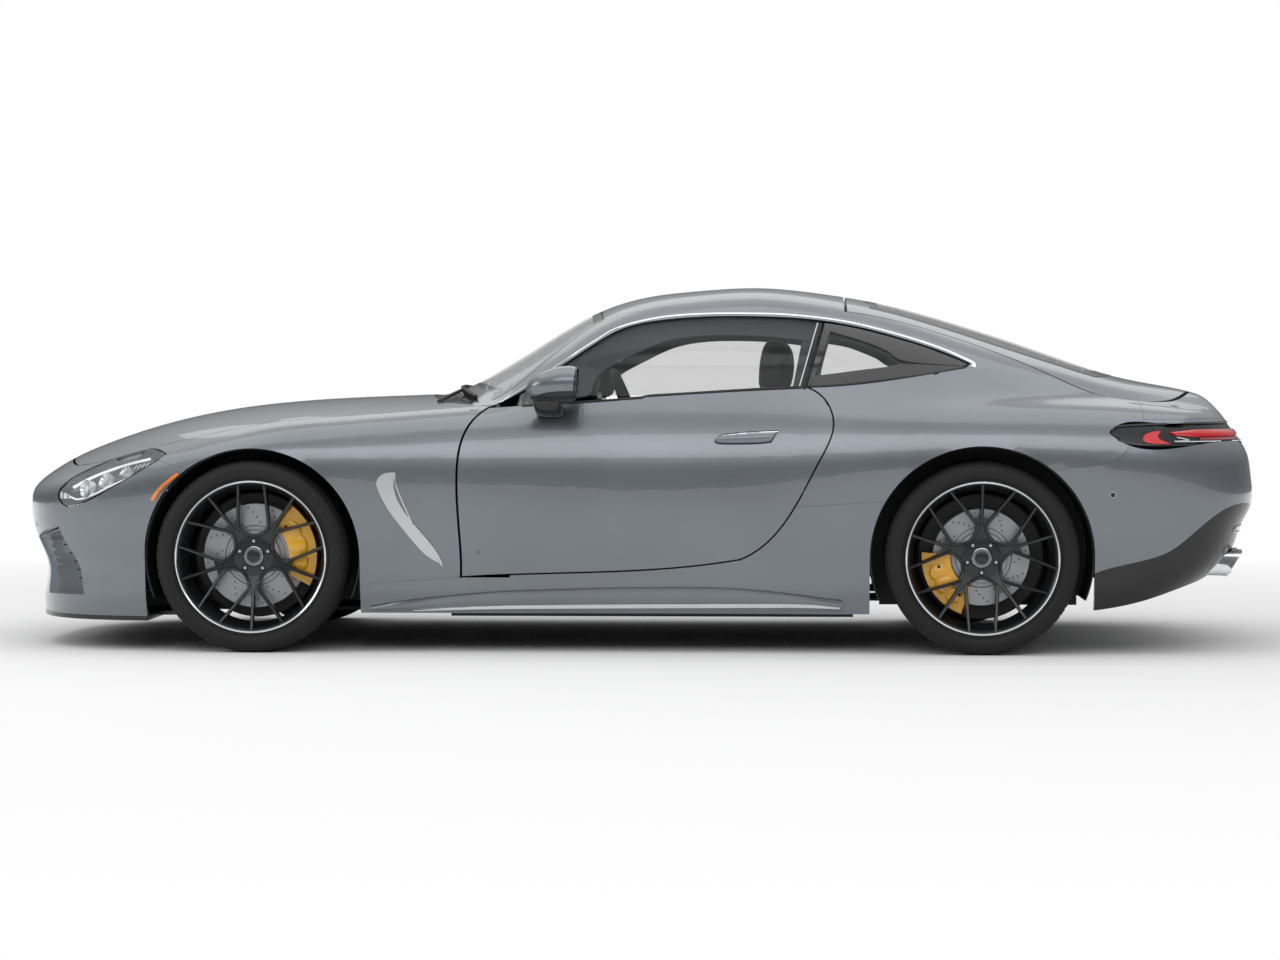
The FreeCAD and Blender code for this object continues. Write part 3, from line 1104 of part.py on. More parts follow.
def seat(y):
    """One seat: cushion, leaning back and headrest as one plain solid."""
    cushion = block(SEAT_START, SEAT_START + SEAT_LENGTH, y - SEAT_HALF, y + SEAT_HALF, SEAT_LOW, SEAT_TOP)
    corners = [(SEAT_START + SEAT_LENGTH - SEAT_BACK, SEAT_LOW), (SEAT_START + SEAT_LENGTH, SEAT_LOW),
               (SEAT_START + SEAT_LENGTH + SEAT_LEAN, BACK_TOP),
               (SEAT_START + SEAT_LENGTH + SEAT_LEAN - SEAT_BACK * 0.7, BACK_TOP)]
    points = [FreeCAD.Vector(a, y - SEAT_HALF, b) for a, b in corners]
    back = Part.Face(Part.makePolygon(points + [points[0]])).extrude(FreeCAD.Vector(0, 2 * SEAT_HALF, 0))
    rest_x = SEAT_START + SEAT_LENGTH + SEAT_LEAN - SEAT_BACK * 0.75
    rest = block(rest_x, rest_x + REST_DEPTH, y - REST_HALF, y + REST_HALF, BACK_TOP - REST_SINK, REST_TOP)
    rails = block(SEAT_START + REST_DEPTH, SEAT_START + SEAT_LENGTH - REST_DEPTH, y - SEAT_HALF * 0.7,
                  y + SEAT_HALF * 0.7, PAN_LOW + PAN_WALL, SEAT_LOW)
    return largest(cushion.fuse(back).fuse(rest).fuse(rails).removeSplitter())


SEAT_Y = 370.0
SEAT_START = -60.0
SEAT_LENGTH = 520.0
SEAT_HALF = 210.0
SEAT_LOW = 240.0
SEAT_TOP = 400.0
SEAT_BACK = 150.0
SEAT_LEAN = 150.0
BACK_TOP = 960.0
REST_DEPTH = 110.0
REST_HALF = 120.0
REST_SINK = 10.0
REST_TOP = 1165.0
WHEEL_X = -20.0
WHEEL_Z = 885.0
WHEEL_RADIUS = 182.0
WHEEL_GRIP = 16.0
WHEEL_TILT = 22.0
COLUMN_RADIUS = 22.0
COLUMN_LENGTH = 240.0
BOSS_RADIUS = 60.0
DASH_START = FIREWALL_X
DASH_END = -250.0
DASH_HALF = 700.0
DASH_LOW = 620.0
DASH_TOP = 900.0


def column_way():
    t = math.radians(WHEEL_TILT)
    return FreeCAD.Vector(math.cos(t), 0, math.sin(t))


def steering_wheel():
    """A rim with three spokes and a boss, square to the column."""
    centre = FreeCAD.Vector(WHEEL_X, -SEAT_Y, WHEEL_Z)
    way = column_way()
    grip = Part.makeTorus(WHEEL_RADIUS, WHEEL_GRIP, centre, way)
    boss = Part.makeCylinder(BOSS_RADIUS, WHEEL_GRIP * 2, centre - way * WHEEL_GRIP * 2, way)
    whole = grip.fuse(boss)
    across = block(WHEEL_X - WHEEL_GRIP, WHEEL_X, -SEAT_Y - WHEEL_RADIUS, -SEAT_Y + WHEEL_RADIUS,
                   WHEEL_Z - WHEEL_GRIP, WHEEL_Z + WHEEL_GRIP)
    foot = block(WHEEL_X - WHEEL_GRIP, WHEEL_X, -SEAT_Y - WHEEL_GRIP, -SEAT_Y + WHEEL_GRIP,
                 WHEEL_Z - WHEEL_RADIUS, WHEEL_Z)
    for spoke in (across, foot):
        spoke.rotate(centre, FreeCAD.Vector(0, 1, 0), -WHEEL_TILT)
        whole = whole.fuse(spoke)
    return largest(whole)


def dashboard():
    """The dash with its cowl over the dials, and the column that carries the steering wheel."""
    face = [(DASH_START, DASH_LOW), (DASH_START, DASH_TOP - DASH_FALL), (DASH_START + DASH_FALL * 2, DASH_TOP),
            (DASH_END - DASH_FALL, DASH_TOP), (DASH_END, DASH_TOP - DASH_FALL), (DASH_END - DASH_FALL, DASH_LOW)]
    points = [FreeCAD.Vector(a, -DASH_HALF, b) for a, b in face]
    body = Part.Face(Part.makePolygon(points + [points[0]])).extrude(FreeCAD.Vector(0, 2 * DASH_HALF, 0))
    hood_over_dials = tube(HOODLET_RADIUS, HOODLET_LENGTH, DASH_END - HOODLET_LENGTH, -SEAT_Y, HOODLET_Z, X_WAY)
    centre = FreeCAD.Vector(WHEEL_X, -SEAT_Y, WHEEL_Z)
    way = column_way()
    start = centre - way * (WHEEL_GRIP * 2 + RUN_GAP)
    column = Part.makeCylinder(COLUMN_RADIUS, COLUMN_LENGTH, start - way * COLUMN_LENGTH, way)
    return largest(body.fuse(hood_over_dials).fuse(column))


DASH_FALL = 70.0
HOODLET_RADIUS = 150.0
HOODLET_LENGTH = 150.0
HOODLET_Z = 850.0


def console():
    top = PAN_LOW + PAN_WALL + TUNNEL_HEIGHT
    return block(DASH_END, CONSOLE_END, -CONSOLE_HALF, CONSOLE_HALF, top, top + CONSOLE_HEIGHT)


CONSOLE_END = 620.0
CONSOLE_HALF = 120.0
CONSOLE_HEIGHT = 160.0


# Small outside pieces
def vent_blade():
    outline = region([], [(0.3031, 0.4542), (0.3040, 0.4665), (0.3183, 0.4861)],
                     [(0.3183, 0.4861), (0.3168, 0.4604), (0.3292, 0.3613), (0.3542, 0.2389)],
                     [(0.3542, 0.2389), (0.3417, 0.2635), (0.3273, 0.3189), (0.3112, 0.3933), (0.3031, 0.4542)])
    skin = panel(FENDER_GRID, BLADE_WALL, -BLADE_WALL - FIT_GAP)
    return largest(skin.common(side_prism(outline)))


BLADE_WALL = 8.0


def side_marker():
    outline = region([], [(0.1252, 0.4109), (0.1303, 0.4380), (0.1387, 0.4653), (0.1461, 0.4852)],
                     [(0.1461, 0.4852), (0.1481, 0.4800)],
                     [(0.1481, 0.4800), (0.1407, 0.4601), (0.1323, 0.4328), (0.1285, 0.4090)],
                     [(0.1285, 0.4090), (0.1252, 0.4109)])
    skin = panel(NOSE_GRID, BLADE_WALL, -BLADE_WALL - FIT_GAP)
    return largest(skin.common(side_prism(outline)))


def exhaust():
    """A cross silencer on two hangers, with a pair of tips behind it on each side."""
    part = block(SILENCER_START, SILENCER_END, 0, SILENCER_HALF, TIP_LOW, TIP_HIGH + SILENCER_RISE)
    part = part.fuse(block(SILENCER_START, SILENCER_START + HANGER, SILENCER_HALF - HANGER, SILENCER_HALF,
                           TIP_LOW, LOAD_FLOOR_Z))
    for y in TIP_PLACES:
        part = part.fuse(tip_block(y, 0))
    for y in TIP_PLACES:
        part = part.cut(block(TIP_START + TIP_WALL, TIP_END + OVERRUN, y - TIP_HALF + TIP_WALL,
                              y + TIP_HALF - TIP_WALL, TIP_LOW + TIP_WALL, TIP_HIGH - TIP_WALL))
    return largest(part.fuse(mirrored(part)).removeSplitter())


SILENCER_START = 1740.0
SILENCER_HALF = 560.0
SILENCER_RISE = 60.0
HANGER = 30.0


def mirror_head():
    """The outside mirror: a rounded head on a short foot that stands on the door."""
    head = block(MIRROR_START, MIRROR_END, MIRROR_INNER, MIRROR_OUTER, MIRROR_LOW, MIRROR_TOP)
    head = head.makeFillet(MIRROR_ROUND, head.Edges)
    foot = block(MIRROR_START + FOOT_STEP, MIRROR_END - 2 * FOOT_STEP, FOOT_INNER, MIRROR_INNER + 2 * FOOT_STEP,
                 FOOT_LOW, MIRROR_LOW + 2 * FOOT_STEP)
    foot = foot.cut(DOOR_BULK)
    return largest(head.fuse(foot))


MIRROR_START = -365.0
MIRROR_END = -190.0
MIRROR_INNER = 880.0
MIRROR_OUTER = 1050.0
MIRROR_LOW = 945.0
MIRROR_TOP = 1066.0
MIRROR_ROUND = 42.0
FOOT_STEP = 26.0
FOOT_INNER = 850.0
FOOT_LOW = 870.0


# Save every piece
save("front_fenders", both_sides(front_fender()))
right_door = door()
save("door_right", right_door)
save("door_left", mirrored(right_door))
save("hinge_pillars", both_sides(hinge_pillar()))
save("sills", both_sides(sill()))
save("body_sides", both_sides(body_side()))
save("hood", hood())
save("windshield", windshield())
save("roof", roof())
save("tailgate", tailgate())
save("tailgate_glass", tailgate_glass())
save("front_bumper", front_bumper())
save("headlamps", both_sides(headlamp()))
save("rear_bumper", rear_bumper())
save("diffuser", diffuser())
save("tail_deck", tail_deck())
save("tail_lamps", both_sides(tail_lamp()))
save("quarter_glass", both_sides(quarter_glass()))
window = door_glass()
save("door_glass_right", window)
save("door_glass_left", mirrored(window))
save("cowl", cowl())
save("front_lip", front_lip())
save("grille", grille())
save("floor", floor())
front_liner = liner(FRONT_AXLE_X, FRONT_ARCH_RADIUS, ARCH_TUB_HALF, LINER_OUTER_FRONT)
rear_liner = liner(REAR_AXLE_X, REAR_ARCH_RADIUS, LINER_INNER_REAR, LINER_OUTER_REAR)
save("wheel_liners", Part.makeCompound(both_sides(front_liner).Solids + both_sides(rear_liner).Solids))
save("engine_block", engine())
save("seats", both_sides(seat(SEAT_Y)))
save("dashboard", dashboard())
save("steering_wheel", steering_wheel())
save("console", console())
save("vent_blades", both_sides(vent_blade()))
save("side_markers", both_sides(side_marker()))
save("exhaust", exhaust())
mirror = mirror_head()
save("mirror_right", mirror)
save("mirror_left", mirrored(mirror))
save("front_subframe", subframe(FRONT_AXLE_X, PAN_LOW + TRAY_WALL))
save("rear_subframe", subframe(REAR_AXLE_X, REAR_TRAY_Z))

# Each axle: its place, the wheel's reach and width, the disc and the caliper's place about the hub
FRONT_CALIPER_DEG = (-28, 52)
REAR_CALIPER_DEG = (175, 250)
AXLES = {"front": (FRONT_AXLE_X, RING_REACH_FRONT, TYRE_WIDTH_FRONT, DISC_RADIUS_FRONT, FRONT_CALIPER_DEG, -90),
         "rear": (REAR_AXLE_X, RING_REACH_REAR, TYRE_WIDTH_REAR, DISC_RADIUS_REAR, REAR_CALIPER_DEG, 90)}
for name, (x, reach, width, radius, caliper_deg, first_deg) in AXLES.items():
    pieces = {"tyre": tyre(x, reach, width), "rim": rim(x, reach, width, first_deg),
              "brake_disc": brake_disc(x, reach, radius), "knuckle": knuckle(x, reach, caliper_deg, radius),
              "caliper": caliper(x, reach, radius, *caliper_deg)}
    for piece, shape in pieces.items():
        save(piece + "_" + name + "_right", shape)
        save(piece + "_" + name + "_left", mirrored(shape))
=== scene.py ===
"""The looks of a two-door coupe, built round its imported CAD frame."""

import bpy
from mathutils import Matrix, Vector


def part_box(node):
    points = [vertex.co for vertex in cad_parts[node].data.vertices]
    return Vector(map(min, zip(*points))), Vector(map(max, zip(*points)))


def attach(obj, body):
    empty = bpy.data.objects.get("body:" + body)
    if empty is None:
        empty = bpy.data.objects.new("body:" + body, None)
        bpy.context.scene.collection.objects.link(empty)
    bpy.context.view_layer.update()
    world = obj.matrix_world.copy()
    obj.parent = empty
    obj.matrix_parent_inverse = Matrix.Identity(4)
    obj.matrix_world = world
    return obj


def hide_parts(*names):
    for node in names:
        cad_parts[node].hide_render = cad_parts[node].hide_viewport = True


bl_info = {
    "name": "Two-door coupe",
    "version": (1, 0, 0),
    "blender": (4, 5, 0),
    "location": "View3D > Sidebar > Coupe",
    "description": "Paint, glass, wheels, lamps and cabin of a two-door coupe",
    "category": "Object",
}

import math

import bmesh
import bpy
from bpy.props import FloatProperty, FloatVectorProperty, IntProperty, PointerProperty
from mathutils import Matrix, Vector
from mathutils.bvhtree import BVHTree

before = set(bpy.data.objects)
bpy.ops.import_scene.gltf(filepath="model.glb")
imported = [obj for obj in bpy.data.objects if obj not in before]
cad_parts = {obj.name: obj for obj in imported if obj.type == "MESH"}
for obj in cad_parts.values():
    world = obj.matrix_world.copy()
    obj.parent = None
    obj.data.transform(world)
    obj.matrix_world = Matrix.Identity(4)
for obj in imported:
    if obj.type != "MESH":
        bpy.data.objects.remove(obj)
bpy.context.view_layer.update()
SIDES = {"right": 1.0, "left": -1.0}
DOOR = "door_{side}"

# The measures that the panels' outlines are shares of
LENGTH = 4.728
HEIGHT = 1.374
NOSE_X = -LENGTH / 2

BACK = Vector((1, 0, 0))
ACROSS = Vector((0, 1, 0))
UP = Vector((0, 0, 1))


# Colours and shader nodes
def linear(code):
    """Turns an sRGB hex code into the linear colour that the shaders read."""
    parts = [int(code[i:i + 2], 16) / 255 for i in (0, 2, 4)]
    return tuple(c / 12.92 if c <= 0.04045 else ((c + 0.055) / 1.055) ** 2.4 for c in parts) + (1.0,)


def add(tree, kind, fields=None, **links):
    """Adds one node. fields sets its sockets and own fields, links joins sockets to other nodes' outputs."""
    made = tree.nodes.new(kind)
    for name, value in (fields or {}).items():
        if isinstance(name, int) or name in made.inputs:
            made.inputs[name].default_value = value
        else:
            setattr(made, name, value)
    for name, source in links.items():
        tree.links.new(source, made.inputs[name.replace("_", " ")])
    return made


def new_material(name, sockets):
    """A material with a principled shader, or one that was made before, with None for its shader."""
    made = bpy.data.materials.get(name)
    if made:
        return made, None
    made = bpy.data.materials.new(name)
    made.use_nodes = True
    tree = made.node_tree
    tree.nodes.clear()
    shader = tree.nodes.new("ShaderNodeBsdfPrincipled")
    for key, value in sockets.items():
        shader.inputs[key].default_value = linear(value) if isinstance(value, str) else value
    out = tree.nodes.new("ShaderNodeOutputMaterial")
    tree.links.new(shader.outputs["BSDF"], out.inputs["Surface"])
    return made, shader


def two_tone(tree, shader, source, colours, places=(0.0, 1.0)):
    """Colours a shader between two colours, by where its source lies between two places."""
    ramp = add(tree, "ShaderNodeValToRGB", Fac=source)
    for stop, colour, place in zip(ramp.color_ramp.elements, colours, places):
        stop.color = colour
        stop.position = place
    tree.links.new(ramp.outputs["Color"], shader.inputs["Base Color"])


def finish(name, sockets, colours=None, grain_mm=None, grain=0.3, depth_mm=0.01, rough=None,
           stretch=(1, 1, 1)):
    """A principled finish. colours are two hex codes, mixed by a noise of grain_mm that also gives relief."""
    made, shader = new_material(name, sockets)
    if shader is None or grain_mm is None:
        return made
    tree = made.node_tree
    place = add(tree, "ShaderNodeTexCoord")
    scale = add(tree, "ShaderNodeMapping", {"Scale": stretch}, Vector=place.outputs["Object"])
    noise = add(tree, "ShaderNodeTexNoise", {"Scale": 1000 / grain_mm, "Detail": 3.0},
                Vector=scale.outputs["Vector"])
    source = noise.outputs["Fac"]
    if colours:
        two_tone(tree, shader, source, [linear(code) for code in colours], (0.5 - grain, 0.5 + grain))
    if rough:
        spread = add(tree, "ShaderNodeMapRange", {"To Min": rough[0], "To Max": rough[1]}, Value=source)
        tree.links.new(spread.outputs["Result"], shader.inputs["Roughness"])
    bump = add(tree, "ShaderNodeBump", {"Strength": 0.6, "Distance": depth_mm / 1000}, Height=source)
    tree.links.new(bump.outputs["Normal"], shader.inputs["Normal"])
    return made


def clear(name, code, alpha):
    """Thin glass or plastic that shows what is behind it unbent."""
    return finish(name, {"Base Color": code, "Roughness": 0.02, "Alpha": alpha, "Specular IOR Level": 1.0,
                         "Coat Weight": 1.0, "Coat Roughness": 0.0})


# Finishes, each named for what the real surface is; some also stand for painted shade, painted glow and
# painted reflection
def paint():
    """Metallic basecoat under clear lacquer: fine aluminium flake with a hard wet gloss on top."""
    wet = {"Metallic": 0.80, "Roughness": 0.30, "Coat Weight": 1.0, "Coat Roughness": 0.02}
    made, shader = new_material("metallic_lacquer_paint", wet)
    if shader is None:
        return made
    tree = made.node_tree
    place = add(tree, "ShaderNodeTexCoord")
    # Real flakes are 0.03 mm; they are drawn 1.2 mm wide so that they show in the picture.
    flake = add(tree, "ShaderNodeTexVoronoi", {"Scale": 800.0}, Vector=place.outputs["Object"])
    cloud = add(tree, "ShaderNodeTexNoise", {"Scale": 2.2, "Detail": 2.0}, Vector=place.outputs["Object"])
    both = add(tree, "ShaderNodeMix", {"data_type": "FLOAT", 0: 0.35}, A=cloud.outputs["Fac"],
               B=flake.outputs["Color"])
    look = bpy.context.scene.coupe_finish.paint
    tones = ([c * 0.90 for c in look] + [1.0], [min(c * 1.10, 1.0) for c in look] + [1.0])
    two_tone(tree, shader, both.outputs["Result"], tones, (0.30, 0.75))
    return made


def window_glass():
    """Tempered float glass, faintly green-grey."""
    return clear("tempered_window_glass", "20282a", 0.13)


def screen_laminate():
    """Acoustic laminated windscreen: its pale grey colour is a painted reflection of the sky, so that it
    mirrors the sky more than it shows.
    """
    # The grey base colour is painted sky reflection, laid over what the glass shows.
    return clear("laminated_glass_painted_sky", "6b7276", 0.34)


def privacy_glass():
    """Laminated rear glass with a darker film."""
    return clear("tinted_laminated_glass", "14181a", 0.42)


def lamp_glass():
    """Clear hard-coated polycarbonate."""
    return clear("clear_polycarbonate", "e8ecef", 0.10)


def rubber():
    """Vulcanised carbon-black rubber: matt, slightly browned, with a fine moulded tooth."""
    return finish("vulcanised_rubber", {"Roughness": 0.62, "Specular IOR Level": 0.35}, ("121213", "1b1b1c"),
                  grain_mm=5.0, grain=0.25, depth_mm=0.25, rough=(0.5, 0.75))


def seal_and_shade_black():
    """Extruded EPDM seal: even, dark and soft. The same black is also painted shade in the drilled holes,
    round the door handles and deep in the tail pipes.
    """
    return finish("epdm_seal_and_shade_black", {"Roughness": 0.55}, ("0f0f10", "18181a"), grain_mm=3.0, depth_mm=0.05)


def wheel_black():
    """Forged aluminium under satin black lacquer: a soft grey sheen on every edge."""
    lacquer = {"Metallic": 0.35, "Roughness": 0.32, "Coat Weight": 0.4, "Coat Roughness": 0.15}
    return finish("satin_black_lacquered_alloy", lacquer, ("1c1d1f", "242628"), grain_mm=2.0,
                  rough=(0.28, 0.38))


def turned_alloy():
    """Diamond-turned aluminium lip: bright, with hair-fine tool rings."""
    return finish("diamond_turned_alloy", {"Metallic": 1.0, "Roughness": 0.14}, ("d9dbdd", "eceef0"),
                  grain_mm=1.0, rough=(0.10, 0.2))


def satin_alloy():
    """Matt anodised aluminium trim, brushed along its length."""
    return finish("matt_anodised_aluminium", {"Metallic": 1.0, "Roughness": 0.36}, ("c3c6c9", "cfd2d4"),
                  grain_mm=0.6, rough=(0.32, 0.42), stretch=(1, 1, 0.1))


def chrome():
    """Bright nickel-chromium plate."""
    return finish("bright_chromium_plate", {"Metallic": 1.0, "Roughness": 0.05}, ("d5d7d9", "e2e4e6"),
                  grain_mm=40.0, depth_mm=0.02, rough=(0.04, 0.08))


def disc_iron():
    """Machined grey cast iron swept by the pads: fine rings and a dull shine."""
    made, shader = new_material("machined_grey_iron", {"Metallic": 0.9, "Roughness": 0.38})
    if shader is None:
        return made
    tree = made.node_tree
    reach = add(tree, "ShaderNodeUVMap", {"uv_map": "turned"})
    # The pads leave rings about 1.5 mm apart.
    rings = add(tree, "ShaderNodeTexNoise", {"noise_dimensions": "2D", "Scale": 600.0, "Detail": 2.0},
                Vector=reach.outputs["UV"])
    two_tone(tree, shader, rings.outputs["Fac"], (linear("8d8f91"), linear("b4b6b8")))
    return made


def caliper_enamel():
    """Baked yellow enamel on cast aluminium, with a slight orange peel."""
    return finish("baked_yellow_enamel", {"Roughness": 0.25, "Coat Weight": 0.6}, ("e0a410", "f0b41c"),
                  grain_mm=6.0, depth_mm=0.05, rough=(0.2, 0.3))


def gloss_black():
    """Piano-black ABS under lacquer."""
    return finish("lacquered_black_abs", {"Roughness": 0.2, "Coat Weight": 0.25}, ("050506", "0a0a0b"),
                  grain_mm=30.0, rough=(0.16, 0.26))


def grained_black():
    """Moulded polypropylene with a leather grain of about 1.5 mm."""
    return finish("grained_polypropylene", {"Roughness": 0.6}, ("161617", "1c1c1d"), grain_mm=1.5, grain=0.25,
                  depth_mm=0.03, rough=(0.58, 0.64))


def dark_steel():
    """Electro-coated steel under the body."""
    return finish("electrocoated_steel", {"Roughness": 0.5, "Metallic": 0.2}, ("161719", "202124"),
                  grain_mm=12.0, depth_mm=0.1, rough=(0.4, 0.65))


def cast_alloy():
    """Sand-cast aluminium with its coarse skin."""
    return finish("sand_cast_aluminium", {"Metallic": 0.8, "Roughness": 0.5}, ("6d7073", "86898c"),
                  grain_mm=2.5, grain=0.25, depth_mm=0.2, rough=(0.42, 0.62))


def leather():
    """Black nappa hide with a pebble of about 1 mm and a soft sheen."""
    return finish("black_nappa_leather", {"Roughness": 0.45, "Sheen Weight": 0.15, "Coat Weight": 0.1},
                  ("161617", "1c1c1e"), grain_mm=1.4, depth_mm=0.02, rough=(0.5, 0.53))


def ceramic_black():
    """Black enamel frit baked on the glass's edge: dead black under the glass's own gloss."""
    return finish("ceramic_enamel_border", {"Roughness": 0.10, "Coat Weight": 0.6}, ("08080a", "0e0e10"),
                  grain_mm=20.0, rough=(0.06, 0.12))


def lining_cloth():
    """Knitted headlining bonded to foam: matt grey with a loop of about 1.2 mm."""
    return finish("knitted_headlining", {"Roughness": 0.9, "Sheen Weight": 0.1}, ("3c3e41", "46484b"),
                  grain_mm=1.2, depth_mm=0.02, rough=(0.85, 0.95))


def lamp_black():
    """Vacuum-clean moulded lamp housing in dark polycarbonate."""
    return finish("moulded_lamp_housing", {"Roughness": 0.3}, ("16171a", "26282c"), grain_mm=4.0,
                  depth_mm=0.03, rough=(0.22, 0.38))


def lamp_eye():
    """Ground glass of a projector: clear, with a pale heart where the bowl shows through, helped by a faint
    painted glow.
    """
    # Emission Strength 0.12 is a painted glow for the bright bowl seen through the glass.
    return finish("projector_glass", {"Base Color": "dfe6ec", "Roughness": 0.04, "Coat Weight": 1.0,
                                      "Transmission Weight": 0.5, "Emission Color": "dfe8f2",
                                      "Emission Strength": 0.12})


def silvered():
    """Float glass silvered on its back."""
    return finish("silvered_float_glass", {"Metallic": 1.0, "Roughness": 0.02}, ("c9ced2", "d4d9dc"),
                  grain_mm=60.0, depth_mm=0.005)


def screen_glass():
    """Bonded glass over an unlit display: blue-black and glossy."""
    return finish("unlit_display_glass", {"Roughness": 0.08, "Coat Weight": 1.0}, ("0b0d12", "10131a"),
                  grain_mm=50.0, depth_mm=0.005)


def lens(name, code, glow):
    """Moulded acrylic lens with its own colour. glow is its emission: lamp light on the lamps' lenses, a
    painted glow on the reflectors.
    """
    return finish(name, {"Base Color": code, "Roughness": 0.06, "Coat Weight": 1.0, "Emission Color": code,
                         "Emission Strength": glow, "Subsurface Weight": 0.15})


# Each finish's slot, where a piece names no other; piece() looks it up but keeps it nowhere
SLOTS = {
    "paint": ("metallic_lacquer_paint",),
    "lamp_glass": ("clear_polycarbonate", "projector_glass", "frosted_light_guide"),
    "tyre": ("vulcanised_rubber",),
    "matt_black": ("epdm_seal_and_shade_black", "grained_polypropylene", "knitted_headlining"),
    "wheel_black": ("satin_black_lacquered_alloy",),
    "bright_trim": ("diamond_turned_alloy", "matt_anodised_aluminium", "bright_chromium_plate"),
    "disc_iron": ("machined_grey_iron",),
    "caliper_yellow": ("baked_yellow_enamel",),
    "gloss_black": ("lacquered_black_abs", "ceramic_enamel_border", "moulded_lamp_housing",
                    "unlit_display_glass"),
    "dark_steel": ("electrocoated_steel",),
    "seat_leather": ("black_nappa_leather",),
    "chrome": ("silvered_float_glass",),
    "red_lens": ("ruby_reflector", "ruby_acrylic", "deep_ruby_acrylic", "prismatic_reflector"),
}
SLOT_OF = {name: slot for slot, names in SLOTS.items() for name in names}


# Corners and faces being gathered for one piece
class Shape:
    def __init__(self):
        self.corners = []
        self.faces = []

    def join(self, other):
        start = len(self.corners)
        self.corners += other.corners
        self.faces += [[start + i for i in face] for face in other.faces]
        return self

    def moved(self, matrix):
        made = Shape()
        made.corners = [matrix @ Vector(p) for p in self.corners]
        made.faces = [list(face) for face in self.faces]
        return made

    def shifted(self, x=0.0, y=0.0, z=0.0):
        return self.moved(Matrix.Translation((x, y, z)))

    def turned(self, degrees, axis="Y"):
        return self.moved(Matrix.Rotation(math.radians(degrees), 4, axis))

    def flipped(self):
        """The mirror image on the car's other side, its faces turned to stay outwards."""
        made = self.moved(Matrix.Scale(-1, 4, (0, 1, 0)))
        made.faces = [face[::-1] for face in made.faces]
        return made


def loft(rings, ring_closed=True, path_closed=False, caps=True):
    """Faces through a row of equal rings of points."""
    made = Shape()
    count = len(rings[0])
    for one in rings:
        made.corners += [Vector(p) for p in one]
    last = len(rings) if path_closed else len(rings) - 1
    for i in range(last):
        near = i * count
        far = (i + 1) % len(rings) * count
        for k in range(count if ring_closed else count - 1):
            after = (k + 1) % count
            made.faces.append([near + k, near + after, far + after, far + k])
    if caps and ring_closed and not path_closed:
        made.faces.append(list(range(count))[::-1])
        made.faces.append([(len(rings) - 1) * count + k for k in range(count)])
    return made


def lathe(profile, steps, closed=True):
    """A turned piece about the Y axis, from (radius, y) corners."""
    rings = []
    for i in range(steps):
        turn = 2 * math.pi * i / steps
        rings.append([(r * math.cos(turn), y, r * math.sin(turn)) for r, y in profile])
    return loft(rings, ring_closed=closed, path_closed=True)


def offset(profile, radius=0.0, level=0.0):
    """(radius, y) corners taken outwards and along the axle."""
    return [(radius + r, level + y) for r, y in profile]


def smooth_path(points, steps):
    """Points along a smooth curve through the given ones, steps to each span."""
    points = [Vector(p) for p in points]
    ends = [2 * points[0] - points[1]] + points + [2 * points[-1] - points[-2]]
    made = []
    for a, b, c, d in zip(ends, ends[1:], ends[2:], ends[3:]):
        for i in range(steps):
            t = i / steps
            made.append(0.5 * (2 * b + (c - a) * t + (2 * a - 5 * b + 4 * c - d) * t * t
                               + (3 * b - a - 3 * c + d) * t ** 3))
    return made + [points[-1]]


def flat_path(line, steps):
    """A smooth path through pairs, which become x and z."""
    return smooth_path([(a, 0, b) for a, b in line], steps)


def swept(path, normals, section):
    """A bar along a path. section is (across, out) points, or gives them for a share of the way along."""
    rings = []
    count = len(path)
    for i, (p, n) in enumerate(zip(path, normals)):
        way = (path[min(i + 1, count - 1)] - path[max(i - 1, 0)]).normalized()
        across = way.cross(n).normalized()
        out = across.cross(way).normalized()
        shape = section(i / (count - 1)) if callable(section) else section
        rings.append([p + across * a + out * b for a, b in shape])
    return loft(rings)


def tin(x_low, x_high, y_low, y_high, z_low, z_high):
    """Six faces between two corners, to be rounded by a bevel."""
    made = Shape()
    made.corners = [Vector((x, y, z)) for x in (x_low, x_high) for y in (y_low, y_high)
                    for z in (z_low, z_high)]
    made.faces = [[0, 1, 3, 2], [4, 6, 7, 5], [0, 4, 5, 1], [2, 3, 7, 6], [0, 2, 6, 4], [1, 5, 7, 3]]
    return made


def piece(name, shape, material, body="shell", slot=None, bevel_mm=0.0, smooth_deg=35.0, levels=0,
          replaces=()):
    """Makes a shape into an object that rides on a body."""
    mesh = bpy.data.meshes.new(name)
    mesh.from_pydata([tuple(p) for p in shape.corners], [], shape.faces)
    work = bmesh.new()
    work.from_mesh(mesh)
    bmesh.ops.remove_doubles(work, verts=work.verts, dist=1e-6)
    bmesh.ops.recalc_face_normals(work, faces=work.faces)
    work.to_mesh(mesh)
    work.free()
    mesh.shade_smooth()
    mesh.set_sharp_from_angle(angle=math.radians(smooth_deg))
    mesh.materials.append(material)
    made = bpy.data.objects.new(name, mesh)
    bpy.context.scene.collection.objects.link(made)
    if bevel_mm:
        edge = made.modifiers.new("edge", "BEVEL")
        edge.width = bevel_mm / 1000
        edge.segments = 3
        edge.limit_method = "ANGLE"
        edge.harden_normals = True
    if levels:
        soft = made.modifiers.new("soft", "SUBSURF")
        soft.levels = levels
        soft.render_levels = levels
    slot = slot or SLOT_OF[material.name]
    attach(made, body)
    if replaces:
        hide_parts(*replaces)
    return made


def pair(name, shape, material, body="shell", replaces=(), **more):
    """A piece on the car's right and its mirror image on the left. {side} in a name stands for either."""
    made = []
    for side in SIDES:
        form = shape if side == "right" else shape.flipped()
        nodes = tuple(node.format(side=side) for node in replaces)
        made.append(piece(f"{name}_{side}", form, material, body.format(side=side), replaces=nodes, **more))
    return made


